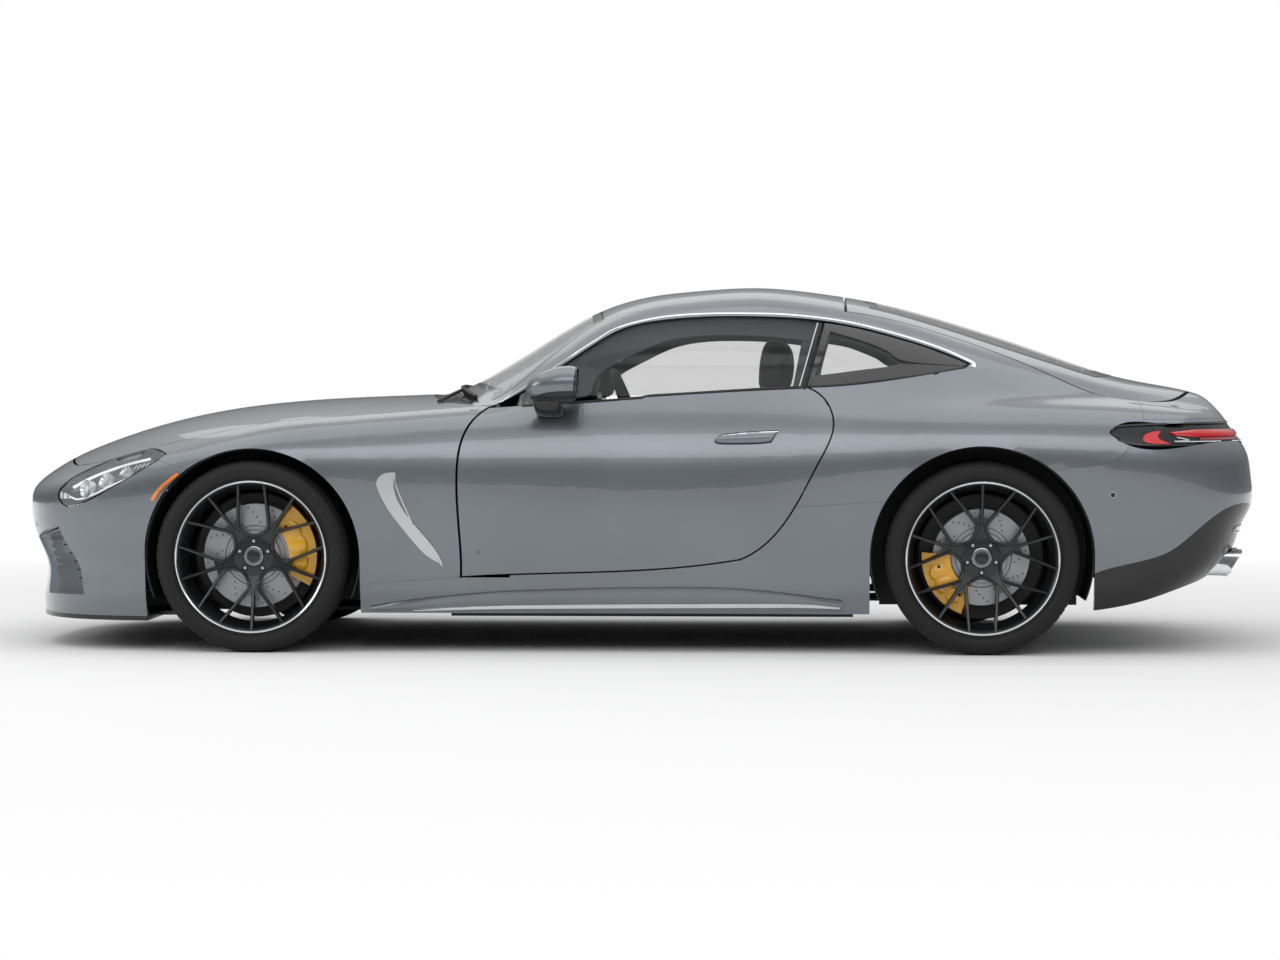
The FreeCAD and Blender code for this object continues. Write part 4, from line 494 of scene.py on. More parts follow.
def dress(node, material):
    """Gives a CAD node its finish."""
    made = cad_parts[node]
    made.data.materials.clear()
    made.data.materials.append(material)


# The skin that trim is laid on, and the ways to find a place on it
MISS = 0.08
PROBE = 2.0
BESIDE = 3.0
BEYOND = 4.0
FLARE_BEND = 6


def skin_of(*nodes):
    """A searchable copy of some nodes' surfaces."""
    corners = []
    faces = []
    for node in nodes:
        start = len(corners)
        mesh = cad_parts[node].data
        corners += [tuple(v.co) for v in mesh.vertices]
        faces += [[start + i for i in face.vertices] for face in mesh.polygons]
    return BVHTree.FromPolygons(corners, faces)


def met(tree, start, way):
    """The place and normal where a line first meets the skin, or the nearest ones where it just misses."""
    place, normal, _, _ = tree.ray_cast(start, way)
    if place is None:
        probe = start + way * PROBE
        for _ in range(8):
            place, normal, _, _ = tree.find_nearest(probe)
            probe = start + way * (place - start).dot(way)
        if (place - probe).length > MISS:
            raise ValueError(f"nothing near {tuple(start)}")
    return place, normal


def from_side(*nodes):
    """A finder that takes (x, z) to the place and normal on the car's right side."""
    tree = skin_of(*nodes)
    return lambda x, z: met(tree, Vector((x, BESIDE, z)), -ACROSS)


def from_top(*nodes):
    """A finder that takes (x, y) to the skin's place and normal there."""
    tree = skin_of(*nodes)
    return lambda x, y: met(tree, Vector((x, y, BESIDE)), -UP)


def from_ahead(*nodes):
    """A finder that takes (y, z) to the nose's place and normal there."""
    tree = skin_of(*nodes)
    return lambda y, z: met(tree, Vector((-BEYOND, y, z)), BACK)


def from_behind(*nodes):
    """A finder that takes (y, z) to the tail's place and normal there."""
    tree = skin_of(*nodes)
    return lambda y, z: met(tree, Vector((BEYOND, y, z)), -BACK)


def round_tail(centre_x, *nodes):
    """A finder that takes (degrees from straight back, z) to the skin round the car's tail corner."""
    tree = skin_of(*nodes)

    def find(degrees, z):
        way = Vector((math.cos(math.radians(degrees)), math.sin(math.radians(degrees)), 0))
        return met(tree, Vector((centre_x, 0, z)) + way * BESIDE, -way)
    return find


def steady(find, out):
    """The same finder with one outward direction all over, for pieces set deep behind the skin."""
    return lambda a, b: (find(a, b)[0], out)


def polar(radius, degrees):
    return Vector((radius * math.cos(math.radians(degrees)), 0, radius * math.sin(math.radians(degrees))))


def share_plan(*points):
    """Points given as a share of the length and metres across, in metres."""
    return [(NOSE_X + x * LENGTH, y) for x, y in points]


def share_path(*points):
    """Points from the panels' outlines, given as shares of the length and the height, in metres."""
    return [(NOSE_X + x * LENGTH, z * HEIGHT) for x, z in points]


def oval(power, count):
    """(across, rise) of points round a soft-cornered oval one across and one tall."""
    made = []
    for k in range(count):
        turn = 2 * math.pi * k / count
        made.append([math.copysign(abs(v) ** (2 / power), v) for v in (math.cos(turn), math.sin(turn))])
    return made


def ribbon(half_width, height):
    """A flat bar's section with rounded edges, its foot a little under the skin."""
    soft = min(height, half_width) * 0.5
    return [(-half_width, -height), (-half_width, height - soft), (-half_width + soft, height),
            (half_width - soft, height), (half_width, height - soft), (half_width, -height)]


def sheet(find, upper, lower, low, high, steps=8, rows=4, crown=0.0):
    """A plate laid on the skin between two lines of points, its faces low and high above the skin."""
    rings = []
    for top, foot in zip(flat_path(upper, steps), flat_path(lower, steps)):
        outer = []
        inner = []
        for k in range(rows + 1):
            share = k / rows
            p = top.lerp(foot, share)
            place, normal = find(p.x, p.z)
            outer.append(place + normal * (high + crown * 4 * share * (1 - share)))
            inner.append(place + normal * low)
        rings.append(outer + inner[::-1])
    return loft(rings)


def strip(find, points, half_width, height, steps=10, sink=0.0, flare=0.0):
    """A bar with rounded edges laid on the skin along points, wider by flare at its far end."""
    path = []
    normals = []
    for p in flat_path(points, steps):
        place, normal = find(p.x, p.z)
        path.append(place - normal * sink)
        normals.append(normal)
    return swept(path, normals, lambda share: ribbon(half_width + flare * share ** FLARE_BEND, height))


def rounded(places, y=0.0, power=2.6, count=24):
    """Rings of a soft form along (x, z, half width across, half thickness) places, seen from the side."""
    rings = []
    for i, (x, z, wide, thick) in enumerate(places):
        before = places[max(i - 1, 0)]
        after = places[min(i + 1, len(places) - 1)]
        way = Vector((after[0] - before[0], 0, after[1] - before[1])).normalized()
        up = Vector((-way.z, 0, way.x))
        centre = Vector((x, y, z))
        rings.append([centre + ACROSS * (wide * across) + up * (thick * rise)
                      for across, rise in oval(power, count)])
    return rings


def soft_form(places, **more):
    """A closed soft form through (x, z, half width, half thickness) places."""
    return loft(rounded([tuple(p) for p in smooth_path(places, 3)], **more))


# Repeats, made by geometry nodes
def ring_tree():
    """A node tree that sets copies of a piece round the Y axis and gives them a finish."""
    tree = bpy.data.node_groups.get("ring_of_copies")
    if tree:
        return tree
    tree = bpy.data.node_groups.new("ring_of_copies", "GeometryNodeTree")
    for name, kind in (("Geometry", "Geometry"), ("Count", "Int"), ("Start", "Float"), ("Finish", "Material")):
        tree.interface.new_socket(name, in_out="INPUT", socket_type=f"NodeSocket{kind}")
    tree.interface.new_socket("Geometry", in_out="OUTPUT", socket_type="NodeSocketGeometry")
    start = tree.nodes.new("NodeGroupInput")
    end = tree.nodes.new("NodeGroupOutput")
    points = add(tree, "GeometryNodeMeshLine", {"mode": "OFFSET", "Offset": (0, 0, 0)},
                 Count=start.outputs["Count"])
    index = add(tree, "GeometryNodeInputIndex")
    share = add(tree, "ShaderNodeMath", {"operation": "DIVIDE"})
    tree.links.new(index.outputs["Index"], share.inputs[0])
    tree.links.new(start.outputs["Count"], share.inputs[1])
    turn = add(tree, "ShaderNodeMath", {"operation": "MULTIPLY_ADD", 1: 2 * math.pi})
    tree.links.new(share.outputs[0], turn.inputs[0])
    tree.links.new(start.outputs["Start"], turn.inputs[2])
    angle = add(tree, "ShaderNodeCombineXYZ", Y=turn.outputs[0])
    copies = add(tree, "GeometryNodeInstanceOnPoints", Points=points.outputs["Mesh"],
                 Instance=start.outputs["Geometry"], Rotation=angle.outputs["Vector"])
    real = add(tree, "GeometryNodeRealizeInstances", Geometry=copies.outputs["Instances"])
    coat = add(tree, "GeometryNodeSetMaterial", Geometry=real.outputs["Geometry"],
               Material=start.outputs["Finish"])
    tree.links.new(coat.outputs["Geometry"], end.inputs["Geometry"])
    return tree


def ringed(shape, count, start_deg, material):
    """Copies of a shape round the Y axis, made real by the node tree."""
    mesh = bpy.data.meshes.new("one_of_ring")
    mesh.from_pydata([tuple(p) for p in shape.corners], [], shape.faces)
    holder = bpy.data.objects.new("one_of_ring", mesh)
    bpy.context.scene.collection.objects.link(holder)
    run = holder.modifiers.new("ring", "NODES")
    run.node_group = ring_tree()
    values = {"Count": count, "Start": math.radians(start_deg), "Finish": material}
    for item in run.node_group.interface.items_tree:
        if item.in_out == "INPUT" and item.name in values:
            run[item.identifier] = values[item.name]
    bpy.context.view_layer.update()
    done = bpy.data.meshes.new_from_object(holder.evaluated_get(bpy.context.evaluated_depsgraph_get()))
    made = Shape()
    made.corners = [v.co.copy() for v in done.vertices]
    made.faces = [list(face.vertices) for face in done.polygons]
    bpy.data.objects.remove(holder)
    bpy.data.meshes.remove(done)
    return made


# Sizes and finishes a user may change
class CoupeSizes(bpy.types.PropertyGroup):
    roll_radius: FloatProperty(name="Tyre radius", description="From axle to ground", default=0.355,
                               unit="LENGTH")
    rim_radius: FloatProperty(name="Rim radius", description="To the outside of the bright lip", default=0.284,
                              unit="LENGTH")
    dish: FloatProperty(name="Dish", description="How far the hub lies behind the lip", default=0.078,
                        unit="LENGTH")
    prong_half: FloatProperty(name="Prong half width", description="Half the width of one prong",
                              default=0.0062, unit="LENGTH")
    tread_blocks: IntProperty(name="Shoulder blocks", description="Blocks round one tyre shoulder", default=64,
                              min=12, max=120)
    window_strip: FloatProperty(name="Window strip", description="Half the width of the bright strip",
                                default=0.0045, unit="LENGTH")


class CoupeFinish(bpy.types.PropertyGroup):
    paint: FloatVectorProperty(name="Paint", description="Basecoat colour", subtype="COLOR",
                               default=linear("767c83")[:3], min=0, max=1)


SOFTBOXES = (
    ("overhead_softbox", (0.0, -0.6, 6.0), (6, 0, 0), (10.0, 6.0), 120),
    ("side_softbox", (0.4, -8.0, 4.4), (62, 0, 0), (9.0, 2.6), 120),
    ("far_softbox", (0.0, 9.0, 6.5), (-54, 0, 0), (10.0, 4.0), 60),
    ("nose_softbox", (-6.5, -3.0, 2.6), (75, 0, -65), (3.0, 2.0), 60),
)
FLOOR_HALF = 30
CLEAR_FROM = 3.0
CLEAR_TO = 7.0


class COUPE_OT_stage(bpy.types.Operator):
    """Set up the floor, the light and the camera"""
    bl_idname = "coupe.stage"
    bl_label = "Stage"

    def execute(self, context):
        scene = context.scene
        scene.view_settings.view_transform = "Standard"
        self.surroundings(scene)
        for name, place, turn, size, power in SOFTBOXES:
            lamp = bpy.data.lights.new(name, "AREA")
            lamp.shape = "RECTANGLE"
            lamp.size, lamp.size_y = size
            lamp.energy = power
            holder = bpy.data.objects.new(name, lamp)
            holder.location = place
            holder.rotation_euler = [math.radians(v) for v in turn]
            scene.collection.objects.link(holder)
        self.floor(scene)
        eye = bpy.data.cameras.new("camera")
        eye.lens = 92.0
        eye.sensor_width = 36.0
        eye.clip_end = 200.0
        holder = bpy.data.objects.new("camera", eye)
        holder.location = (0.611, -12.96, 0.965)
        holder.rotation_euler = (math.radians(88.46), 0, math.radians(2.70))
        scene.collection.objects.link(holder)
        scene.camera = holder
        return {"FINISHED"}

    def surroundings(self, scene):
        """A grey room with a bright ceiling, which the camera itself sees as plain white."""
        world = bpy.data.worlds.new("studio_light")
        scene.world = world
        world.use_nodes = True
        tree = world.node_tree
        tree.nodes.clear()
        place = add(tree, "ShaderNodeTexCoord")
        split = add(tree, "ShaderNodeSeparateXYZ", Vector=place.outputs["Generated"])
        sky = add(tree, "ShaderNodeValToRGB", Fac=split.outputs["Z"])
        dusk, dawn = sky.color_ramp.elements
        dusk.position = 0.08
        dusk.color = (0.22, 0.22, 0.225, 1)
        dawn.position = 0.62
        dawn.color = (1.0, 1.0, 1.0, 1)
        sky.color_ramp.elements.new(0.30).color = (0.50, 0.505, 0.51, 1)
        light = add(tree, "ShaderNodeBackground", {"Strength": 0.80}, Color=sky.outputs["Color"])
        seen = add(tree, "ShaderNodeBackground", {"Color": (1, 1, 1, 1), "Strength": 1.0})
        ray = add(tree, "ShaderNodeLightPath")
        plain = add(tree, "ShaderNodeMath", {"operation": "MAXIMUM"})
        tree.links.new(ray.outputs["Is Camera Ray"], plain.inputs[0])
        tree.links.new(ray.outputs["Is Transmission Ray"], plain.inputs[1])
        both = add(tree, "ShaderNodeMixShader", Fac=plain.outputs[0])
        tree.links.new(light.outputs["Background"], both.inputs[1])
        tree.links.new(seen.outputs["Background"], both.inputs[2])
        out = add(tree, "ShaderNodeOutputWorld")
        tree.links.new(both.outputs[0], out.inputs["Surface"])

    def floor(self, scene):
        """White paper that runs out into the white behind the car."""
        mesh = bpy.data.meshes.new("studio_floor")
        ends = [(-FLOOR_HALF, -FLOOR_HALF), (FLOOR_HALF, -FLOOR_HALF), (FLOOR_HALF, FLOOR_HALF),
                (-FLOOR_HALF, FLOOR_HALF)]
        mesh.from_pydata([(x, y, 0) for x, y in ends], [], [[0, 1, 2, 3]])
        ground = bpy.data.objects.new("studio_floor", mesh)
        scene.collection.objects.link(ground)
        paper, shader = new_material("pale_studio_paper", {"Base Color": "f4f4f4", "Roughness": 0.9})
        tree = paper.node_tree
        glow = add(tree, "ShaderNodeEmission", {"Color": (1, 1, 1, 1), "Strength": 1.0})
        spot = add(tree, "ShaderNodeNewGeometry")
        distance = add(tree, "ShaderNodeVectorMath", {"operation": "LENGTH"})
        tree.links.new(spot.outputs["Position"], distance.inputs[0])
        edge = add(tree, "ShaderNodeMapRange", {"From Min": CLEAR_FROM, "From Max": CLEAR_TO},
                   Value=distance.outputs["Value"])
        blend = add(tree, "ShaderNodeMixShader", Fac=edge.outputs["Result"])
        tree.links.new(shader.outputs["BSDF"], blend.inputs[1])
        tree.links.new(glow.outputs["Emission"], blend.inputs[2])
        out = next(node for node in tree.nodes if node.bl_idname == "ShaderNodeOutputMaterial")
        tree.links.new(blend.outputs[0], out.inputs["Surface"])
        mesh.materials.append(paper)


PANEL_FINISHES = (
    (paint, ("front_fenders", "door_right", "door_left", "sills", "body_sides", "hood", "roof", "tailgate",
             "front_bumper", "rear_bumper", "tail_deck")),
    (screen_laminate, ("windshield",)),
    (window_glass, ("door_glass_right", "door_glass_left", "quarter_glass")),
    (privacy_glass, ("tailgate_glass",)),
    (gloss_black, ("diffuser", "front_lip")),
    (grained_black, ("cowl", "wheel_liners", "console")),
    (dark_steel, ("floor", "front_subframe", "rear_subframe", "hinge_pillars")),
    (satin_alloy, ("vent_blades",)),
    (chrome, ("grille", "exhaust")),
    (cast_alloy, ("engine_block", "knuckle_front_right", "knuckle_front_left", "knuckle_rear_right",
                  "knuckle_rear_left")),
    (leather, ("dashboard",)),
)


class COUPE_OT_panels(bpy.types.Operator):
    """Finish the CAD panels, glass and running gear"""
    bl_idname = "coupe.panels"
    bl_label = "Panels and glass"

    def execute(self, context):
        for coat, nodes in PANEL_FINISHES:
            for node in nodes:
                dress(node, coat())
        dress("side_markers", lens("amber_acrylic", "e2772a", 0.15))
        return {"FINISHED"}


class Corner:
    """One wheel's place, from the frame: its axle, and how far out and how wide its rim is."""
    def __init__(self, end, side):
        self.end = end
        self.name = f"{end}_{side}"
        self.sign = SIDES[side]
        self.wheel = f"wheel_{self.name}"
        self.hub = f"hub_{self.name}" if end == "front" else "shell"
        low, high, _, self.reach = self.box("rim")
        self.axle = ((low.x + high.x) / 2, (low.z + high.z) / 2)
        self.width = high.y - low.y

    def box(self, node):
        """A node's box at this wheel, and how near and far it is from the car's middle."""
        low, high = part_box(f"{node}_{self.name}")
        return low, high, min(abs(low.y), abs(high.y)), max(abs(low.y), abs(high.y))

    def put(self, name, shape, material, body, out=0.0, node=None, **more):
        """A piece from a shape made about the origin on the car's right, taken to this wheel."""
        made = shape.shifted(y=out)
        if self.sign < 0:
            made = made.flipped()
        stands_for = (f"{node}_{self.name}",) if node else ()
        return piece(f"{name}_{self.name}", made.shifted(x=self.axle[0], z=self.axle[1]), material, body,
                     replaces=stands_for, **more)


def corners():
    for end in ("front", "rear"):
        for side in SIDES:
            yield Corner(end, side)


TREAD_RISE = 0.0030
TYRE_PROUD = 0.006
GROOVE_DEEP = 0.0065
GROOVE_HALF = 0.0045
GROOVE_SHARES = (0.27, 0.095, -0.095, -0.27)
LAND = 0.005
# A tyre's wall as (radius past the rim, y), and its shoulder as (radius past the roll radius, y)
WALL = [(0.0005, -0.008), (0.003, -0.0015), (0.0065, 0.0005), (0.0085, -0.0012), (0.0105, 0.0008),
        (0.016, 0.0048), (0.026, 0.0072), (0.036, 0.0072), (0.0375, 0.0060), (0.0395, 0.0062),
        (0.045, 0.0040),
        (0.050, 0.0012), (0.0515, -0.0012), (0.0545, -0.0030)]
SHOULDER = [(-0.0095, -0.0100), (-TREAD_RISE - 0.0035, -0.0185), (-TREAD_RISE - 0.0008, -0.0300),
            (-TREAD_RISE, -0.0420)]
BLOCK = [(-TREAD_RISE - 0.004, -0.0415), (0.0, -0.0410), (-0.0004, -0.0300), (-0.0030, -0.0190),
         (-0.0080, -0.0105), (-0.0120, -0.0060), (-0.0190, -0.0080)]
BLOCK_SHARE = 0.86
BLOCK_SKEW = 2.0


def tread_middle(width):
    """The middle of a tyre, counted from its outside face."""
    return (TYRE_PROUD - width) / 2


def tyre_profile(width, roll, rim):
    """One tyre's section as (radius, y), outside face near y 0, with four grooves round the tread."""
    side = offset(WALL, rim) + offset(SHOULDER, roll)
    middle = tread_middle(width)
    grooves = [middle + width * share for share in GROOVE_SHARES]
    first = grooves[0] + GROOVE_HALF + LAND
    last = grooves[-1] - GROOVE_HALF - LAND
    tread = [(roll - TREAD_RISE, first + 0.001), (roll, first)]
    for place in grooves:
        tread += [(roll, place + GROOVE_HALF), (roll - GROOVE_DEEP, place + GROOVE_HALF * 0.7),
                  (roll - GROOVE_DEEP, place - GROOVE_HALF * 0.7), (roll, place - GROOVE_HALF)]
    tread += [(roll, last), (roll - TREAD_RISE, last - 0.001)]
    return side + tread + [(r, 2 * middle - y) for r, y in side[::-1]]


def shoulder_block(roll, count):
    """One tread block that wraps a shoulder, a little narrower than its share of the round."""
    half = math.pi / count * BLOCK_SHARE
    rings = []
    for i in range(4):
        turn = half * (2 * i / 3 - 1)
        ring = []
        for r, y in offset(BLOCK, roll):
            bearing = turn * (1 + BLOCK_SKEW * y)
            ring.append((r * math.cos(bearing), y, r * math.sin(bearing)))
        rings.append(ring)
    return loft(rings)


class COUPE_OT_tyres(bpy.types.Operator):
    """Turn the tyres and set their shoulder blocks"""
    bl_idname = "coupe.tyres"
    bl_label = "Tyres"

    def execute(self, context):
        sizes = context.scene.coupe_sizes
        for at in corners():
            outside = at.reach + TYRE_PROUD
            carcass = lathe(tyre_profile(at.width, sizes.roll_radius, sizes.rim_radius), 144)
            at.put("tyre_carcass", carcass, rubber(), at.wheel, outside, "tyre", smooth_deg=28)
            one = shoulder_block(sizes.roll_radius, sizes.tread_blocks)
            blocks = ringed(one, sizes.tread_blocks, 0, rubber())
            blocks.join(blocks.flipped().shifted(y=2 * tread_middle(at.width)))
            at.put("tread_blocks", blocks, rubber(), at.wheel, outside)
        return {"FINISHED"}


SPOKE_SLOPE = 1.12
SPOKE_INNER = 0.060
SPOKE_OUTER = 0.2755
SPOKE_DEEP = 0.026
LIP_INSET = 0.012
ROOTS = 5
ROOT_DEG = 360 / ROOTS
# One side of the rib round a window between two roots, from the barrel inwards, and its innermost place
RIB_TIP_DEG = 26
RIB_FLANK = [(0.1290, 0.0235), (0.1060, 0.0180), (0.0860, 0.0235)]
RIB_FOOT = 0.0745
TONGUE = [(0.118, 0.0), (0.160, 0.0), (0.220, 0.0), (SPOKE_OUTER, 0.0)]
WEB = [(0.050, 0.0), (0.090, 0.0), (0.120, 0.0), (0.146, 0.0)]
WEB_HALVES = [0.026, 0.025, 0.024, 0.022, 0.020, 0.018, 0.017, 0.017, 0.018, 0.020, 0.023, 0.026, 0.030]
WEB_SET_BACK = 0.005
# Sections as (radius past the rim's, y), and about the hub as (radius, y past the dish)
BARREL_FACE = [(-0.0075, 0.0), (-0.0085, -0.004), (-0.0125, -0.007), (-0.013, -0.013), (-0.018, -0.020),
               (-0.020, -0.045), (-0.033, -0.075), (-0.036, -0.150), (-0.022, -0.190)]
BARREL_EDGE = [(-0.015, 0.012), (0.0, 0.0), (0.0, 0.008), (-0.012, 0.014)]
BARREL_BACK = [(-0.016, -0.185), (-0.029, -0.145), (-0.027, -0.080), (-0.012, -0.040), (-0.001, -0.012),
               (-0.001, -0.002)]
LIP = [(-0.0082, -0.004), (-0.0080, 0.0008), (-0.0055, 0.0022), (-0.0020, 0.0016), (-0.0012, -0.002)]
HUB = [(0.0, -0.020), (0.0, 0.0075), (0.024, 0.0065), (0.0325, 0.0020), (0.0340, -0.0050), (0.0385, -0.0030),
       (0.0420, 0.0), (0.0660, -0.0005), (0.0740, -0.0020), (0.0780, -0.0070), (0.0790, -0.022)]
CAP_RING = [(0.0325, 0.0010), (0.0332, 0.0030), (0.0352, 0.0024), (0.0364, -0.0035)]
BOLT_HEAD = [(0.0, 0.004), (0.0055, 0.004), (0.0062, 0.0032), (0.0068, -0.008)]
BOLT_SEAT = [(0.0072, -0.006), (0.0075, 0.0006), (0.0105, 0.0010), (0.0125, -0.0008)]
BOLT_CIRCLE = 0.0555


def dish_level(radius, dish):
    """How far the face of the spokes lies behind the lip at a radius."""
    share = min(max((radius - SPOKE_INNER) / (SPOKE_OUTER - SPOKE_INNER), 0.0), 1.0)
    return -dish + (dish - LIP_INSET) * share ** SPOKE_SLOPE


def dished(points, steps, dish, lift):
    """A smooth path over the wheel's dish through (x, z) points."""
    return [Vector((p.x, dish_level(math.hypot(p.x, p.z), dish) + lift, p.z))
            for p in flat_path(points, steps)]


def turned_pairs(points, degrees):
    """(x, z) points turned about the axle."""
    way = polar(1, degrees)
    return [(x * way.x - z * way.z, x * way.z + z * way.x) for x, z in points]


def prong(points, half_start, half_end, dish, lift=0.0):
    """A bar with chamfered shoulders over the wheel's dish, along (x, z) points."""
    path = dished(points, 8, dish, lift)

    def section(share):
        half = half_start + (half_end - half_start) * share
        return [(-half * 1.15, -SPOKE_DEEP), (-half, -0.0042), (-half * 0.62, 0.0), (half * 0.62, 0.0),
                (half, -0.0042), (half * 1.15, -SPOKE_DEEP)]
    return swept(path, [ACROSS] * len(path), section)


def web(turn, dish):
    """The plate in the fork of the root at a bearing."""
    aside = polar(1, turn + 90)
    drop = ACROSS * (SPOKE_DEEP * 0.6)
    rings = []
    for p, half in zip(dished(turned_pairs(WEB, turn), 4, dish, -WEB_SET_BACK), WEB_HALVES):
        near = p - aside * half
        far = p + aside * half
        rings.append([near, far, far - drop, near - drop])
    return loft(rings)


def spokes(first_deg, dish, half):
    """Five roots that fork into three: one rib runs round each window, and one prong stands on each root."""
    tip = polar(SPOKE_OUTER, RIB_TIP_DEG)
    foot = polar(RIB_FOOT, ROOT_DEG / 2)
    flank = [(tip.x, tip.z)] + RIB_FLANK
    other = []
    for x, z in flank[::-1]:
        mirrored = polar(math.hypot(x, z), ROOT_DEG - math.degrees(math.atan2(z, x)))
        other.append((mirrored.x, mirrored.z))
    rib = flank + [(foot.x, foot.z)] + other
    made = Shape()
    for i in range(ROOTS):
        turn = first_deg + ROOT_DEG * i
        made.join(prong(turned_pairs(rib, turn), half, half, dish))
        made.join(prong(turned_pairs(TONGUE, turn), half * 1.1, half, dish, lift=-0.0006))
        made.join(web(turn, dish))
    return made


class COUPE_OT_wheels(bpy.types.Operator):
    """Forge the forked wheels with their bright lips, hubs and bolts"""
    bl_idname = "coupe.wheels"
    bl_label = "Wheels"

    def execute(self, context):
        sizes = context.scene.coupe_sizes
        rim = sizes.rim_radius
        dish = sizes.dish
        for at in corners():
            first = -90 if at.end == "front" else 90
            bolt_deg = first + ROOT_DEG / 2 + 180
            section = offset(BARREL_FACE, rim) + offset(BARREL_EDGE, rim, -at.width) + offset(BARREL_BACK, rim)
            forging = lathe(section, 144).join(spokes(first, dish, sizes.prong_half))
            forging.join(lathe(offset(HUB, 0.0, -dish), 96, closed=False))
            at.put("forged_rim", forging, wheel_black(), at.wheel, at.reach, "rim", smooth_deg=30)
            lip = lathe(offset(LIP, rim), 160, closed=False)
            lip.join(lathe(offset(CAP_RING, 0.0, -dish), 64, closed=False))
            at.put("bright_lip", lip, turned_alloy(), at.wheel, at.reach)
            head = lathe(BOLT_HEAD, 6, closed=False).shifted(x=BOLT_CIRCLE, y=-dish - 0.001)
            bolts = ringed(head, ROOTS, bolt_deg, satin_alloy())
            at.put("wheel_bolts", bolts, satin_alloy(), at.wheel, at.reach)
            seat = lathe(BOLT_SEAT, 20, closed=False).shifted(x=BOLT_CIRCLE, y=-dish + 0.0004)
            seats = ringed(seat, ROOTS, bolt_deg, wheel_black())
            at.put("bolt_seats", seats, wheel_black(), at.wheel, at.reach)
        return {"FINISHED"}


HAT_DEEP = 0.036
HOLE = [(0.0, 0.0005), (0.0030, 0.0005), (0.0033, -0.0005)]
SHIELD_INNER = 0.100
SHIELD_RADIUS = 0.232
SHIELD_GAP = 0.012
APRON_Y = {"front": 0.43, "rear": 0.615}
APRON_RADIUS = 0.37
APRON_SQUASH = 0.86
APRON_FOOT = -0.190
APRON_WALL = 0.002
CALIPER_OUT = 0.004
CALIPER_HALF_DEG = {"front": 33, "rear": 27}
CALIPER_BOLT = [(0.0, 0.005), (0.0045, 0.005), (0.0055, 0.0042), (0.0060, -0.004)]


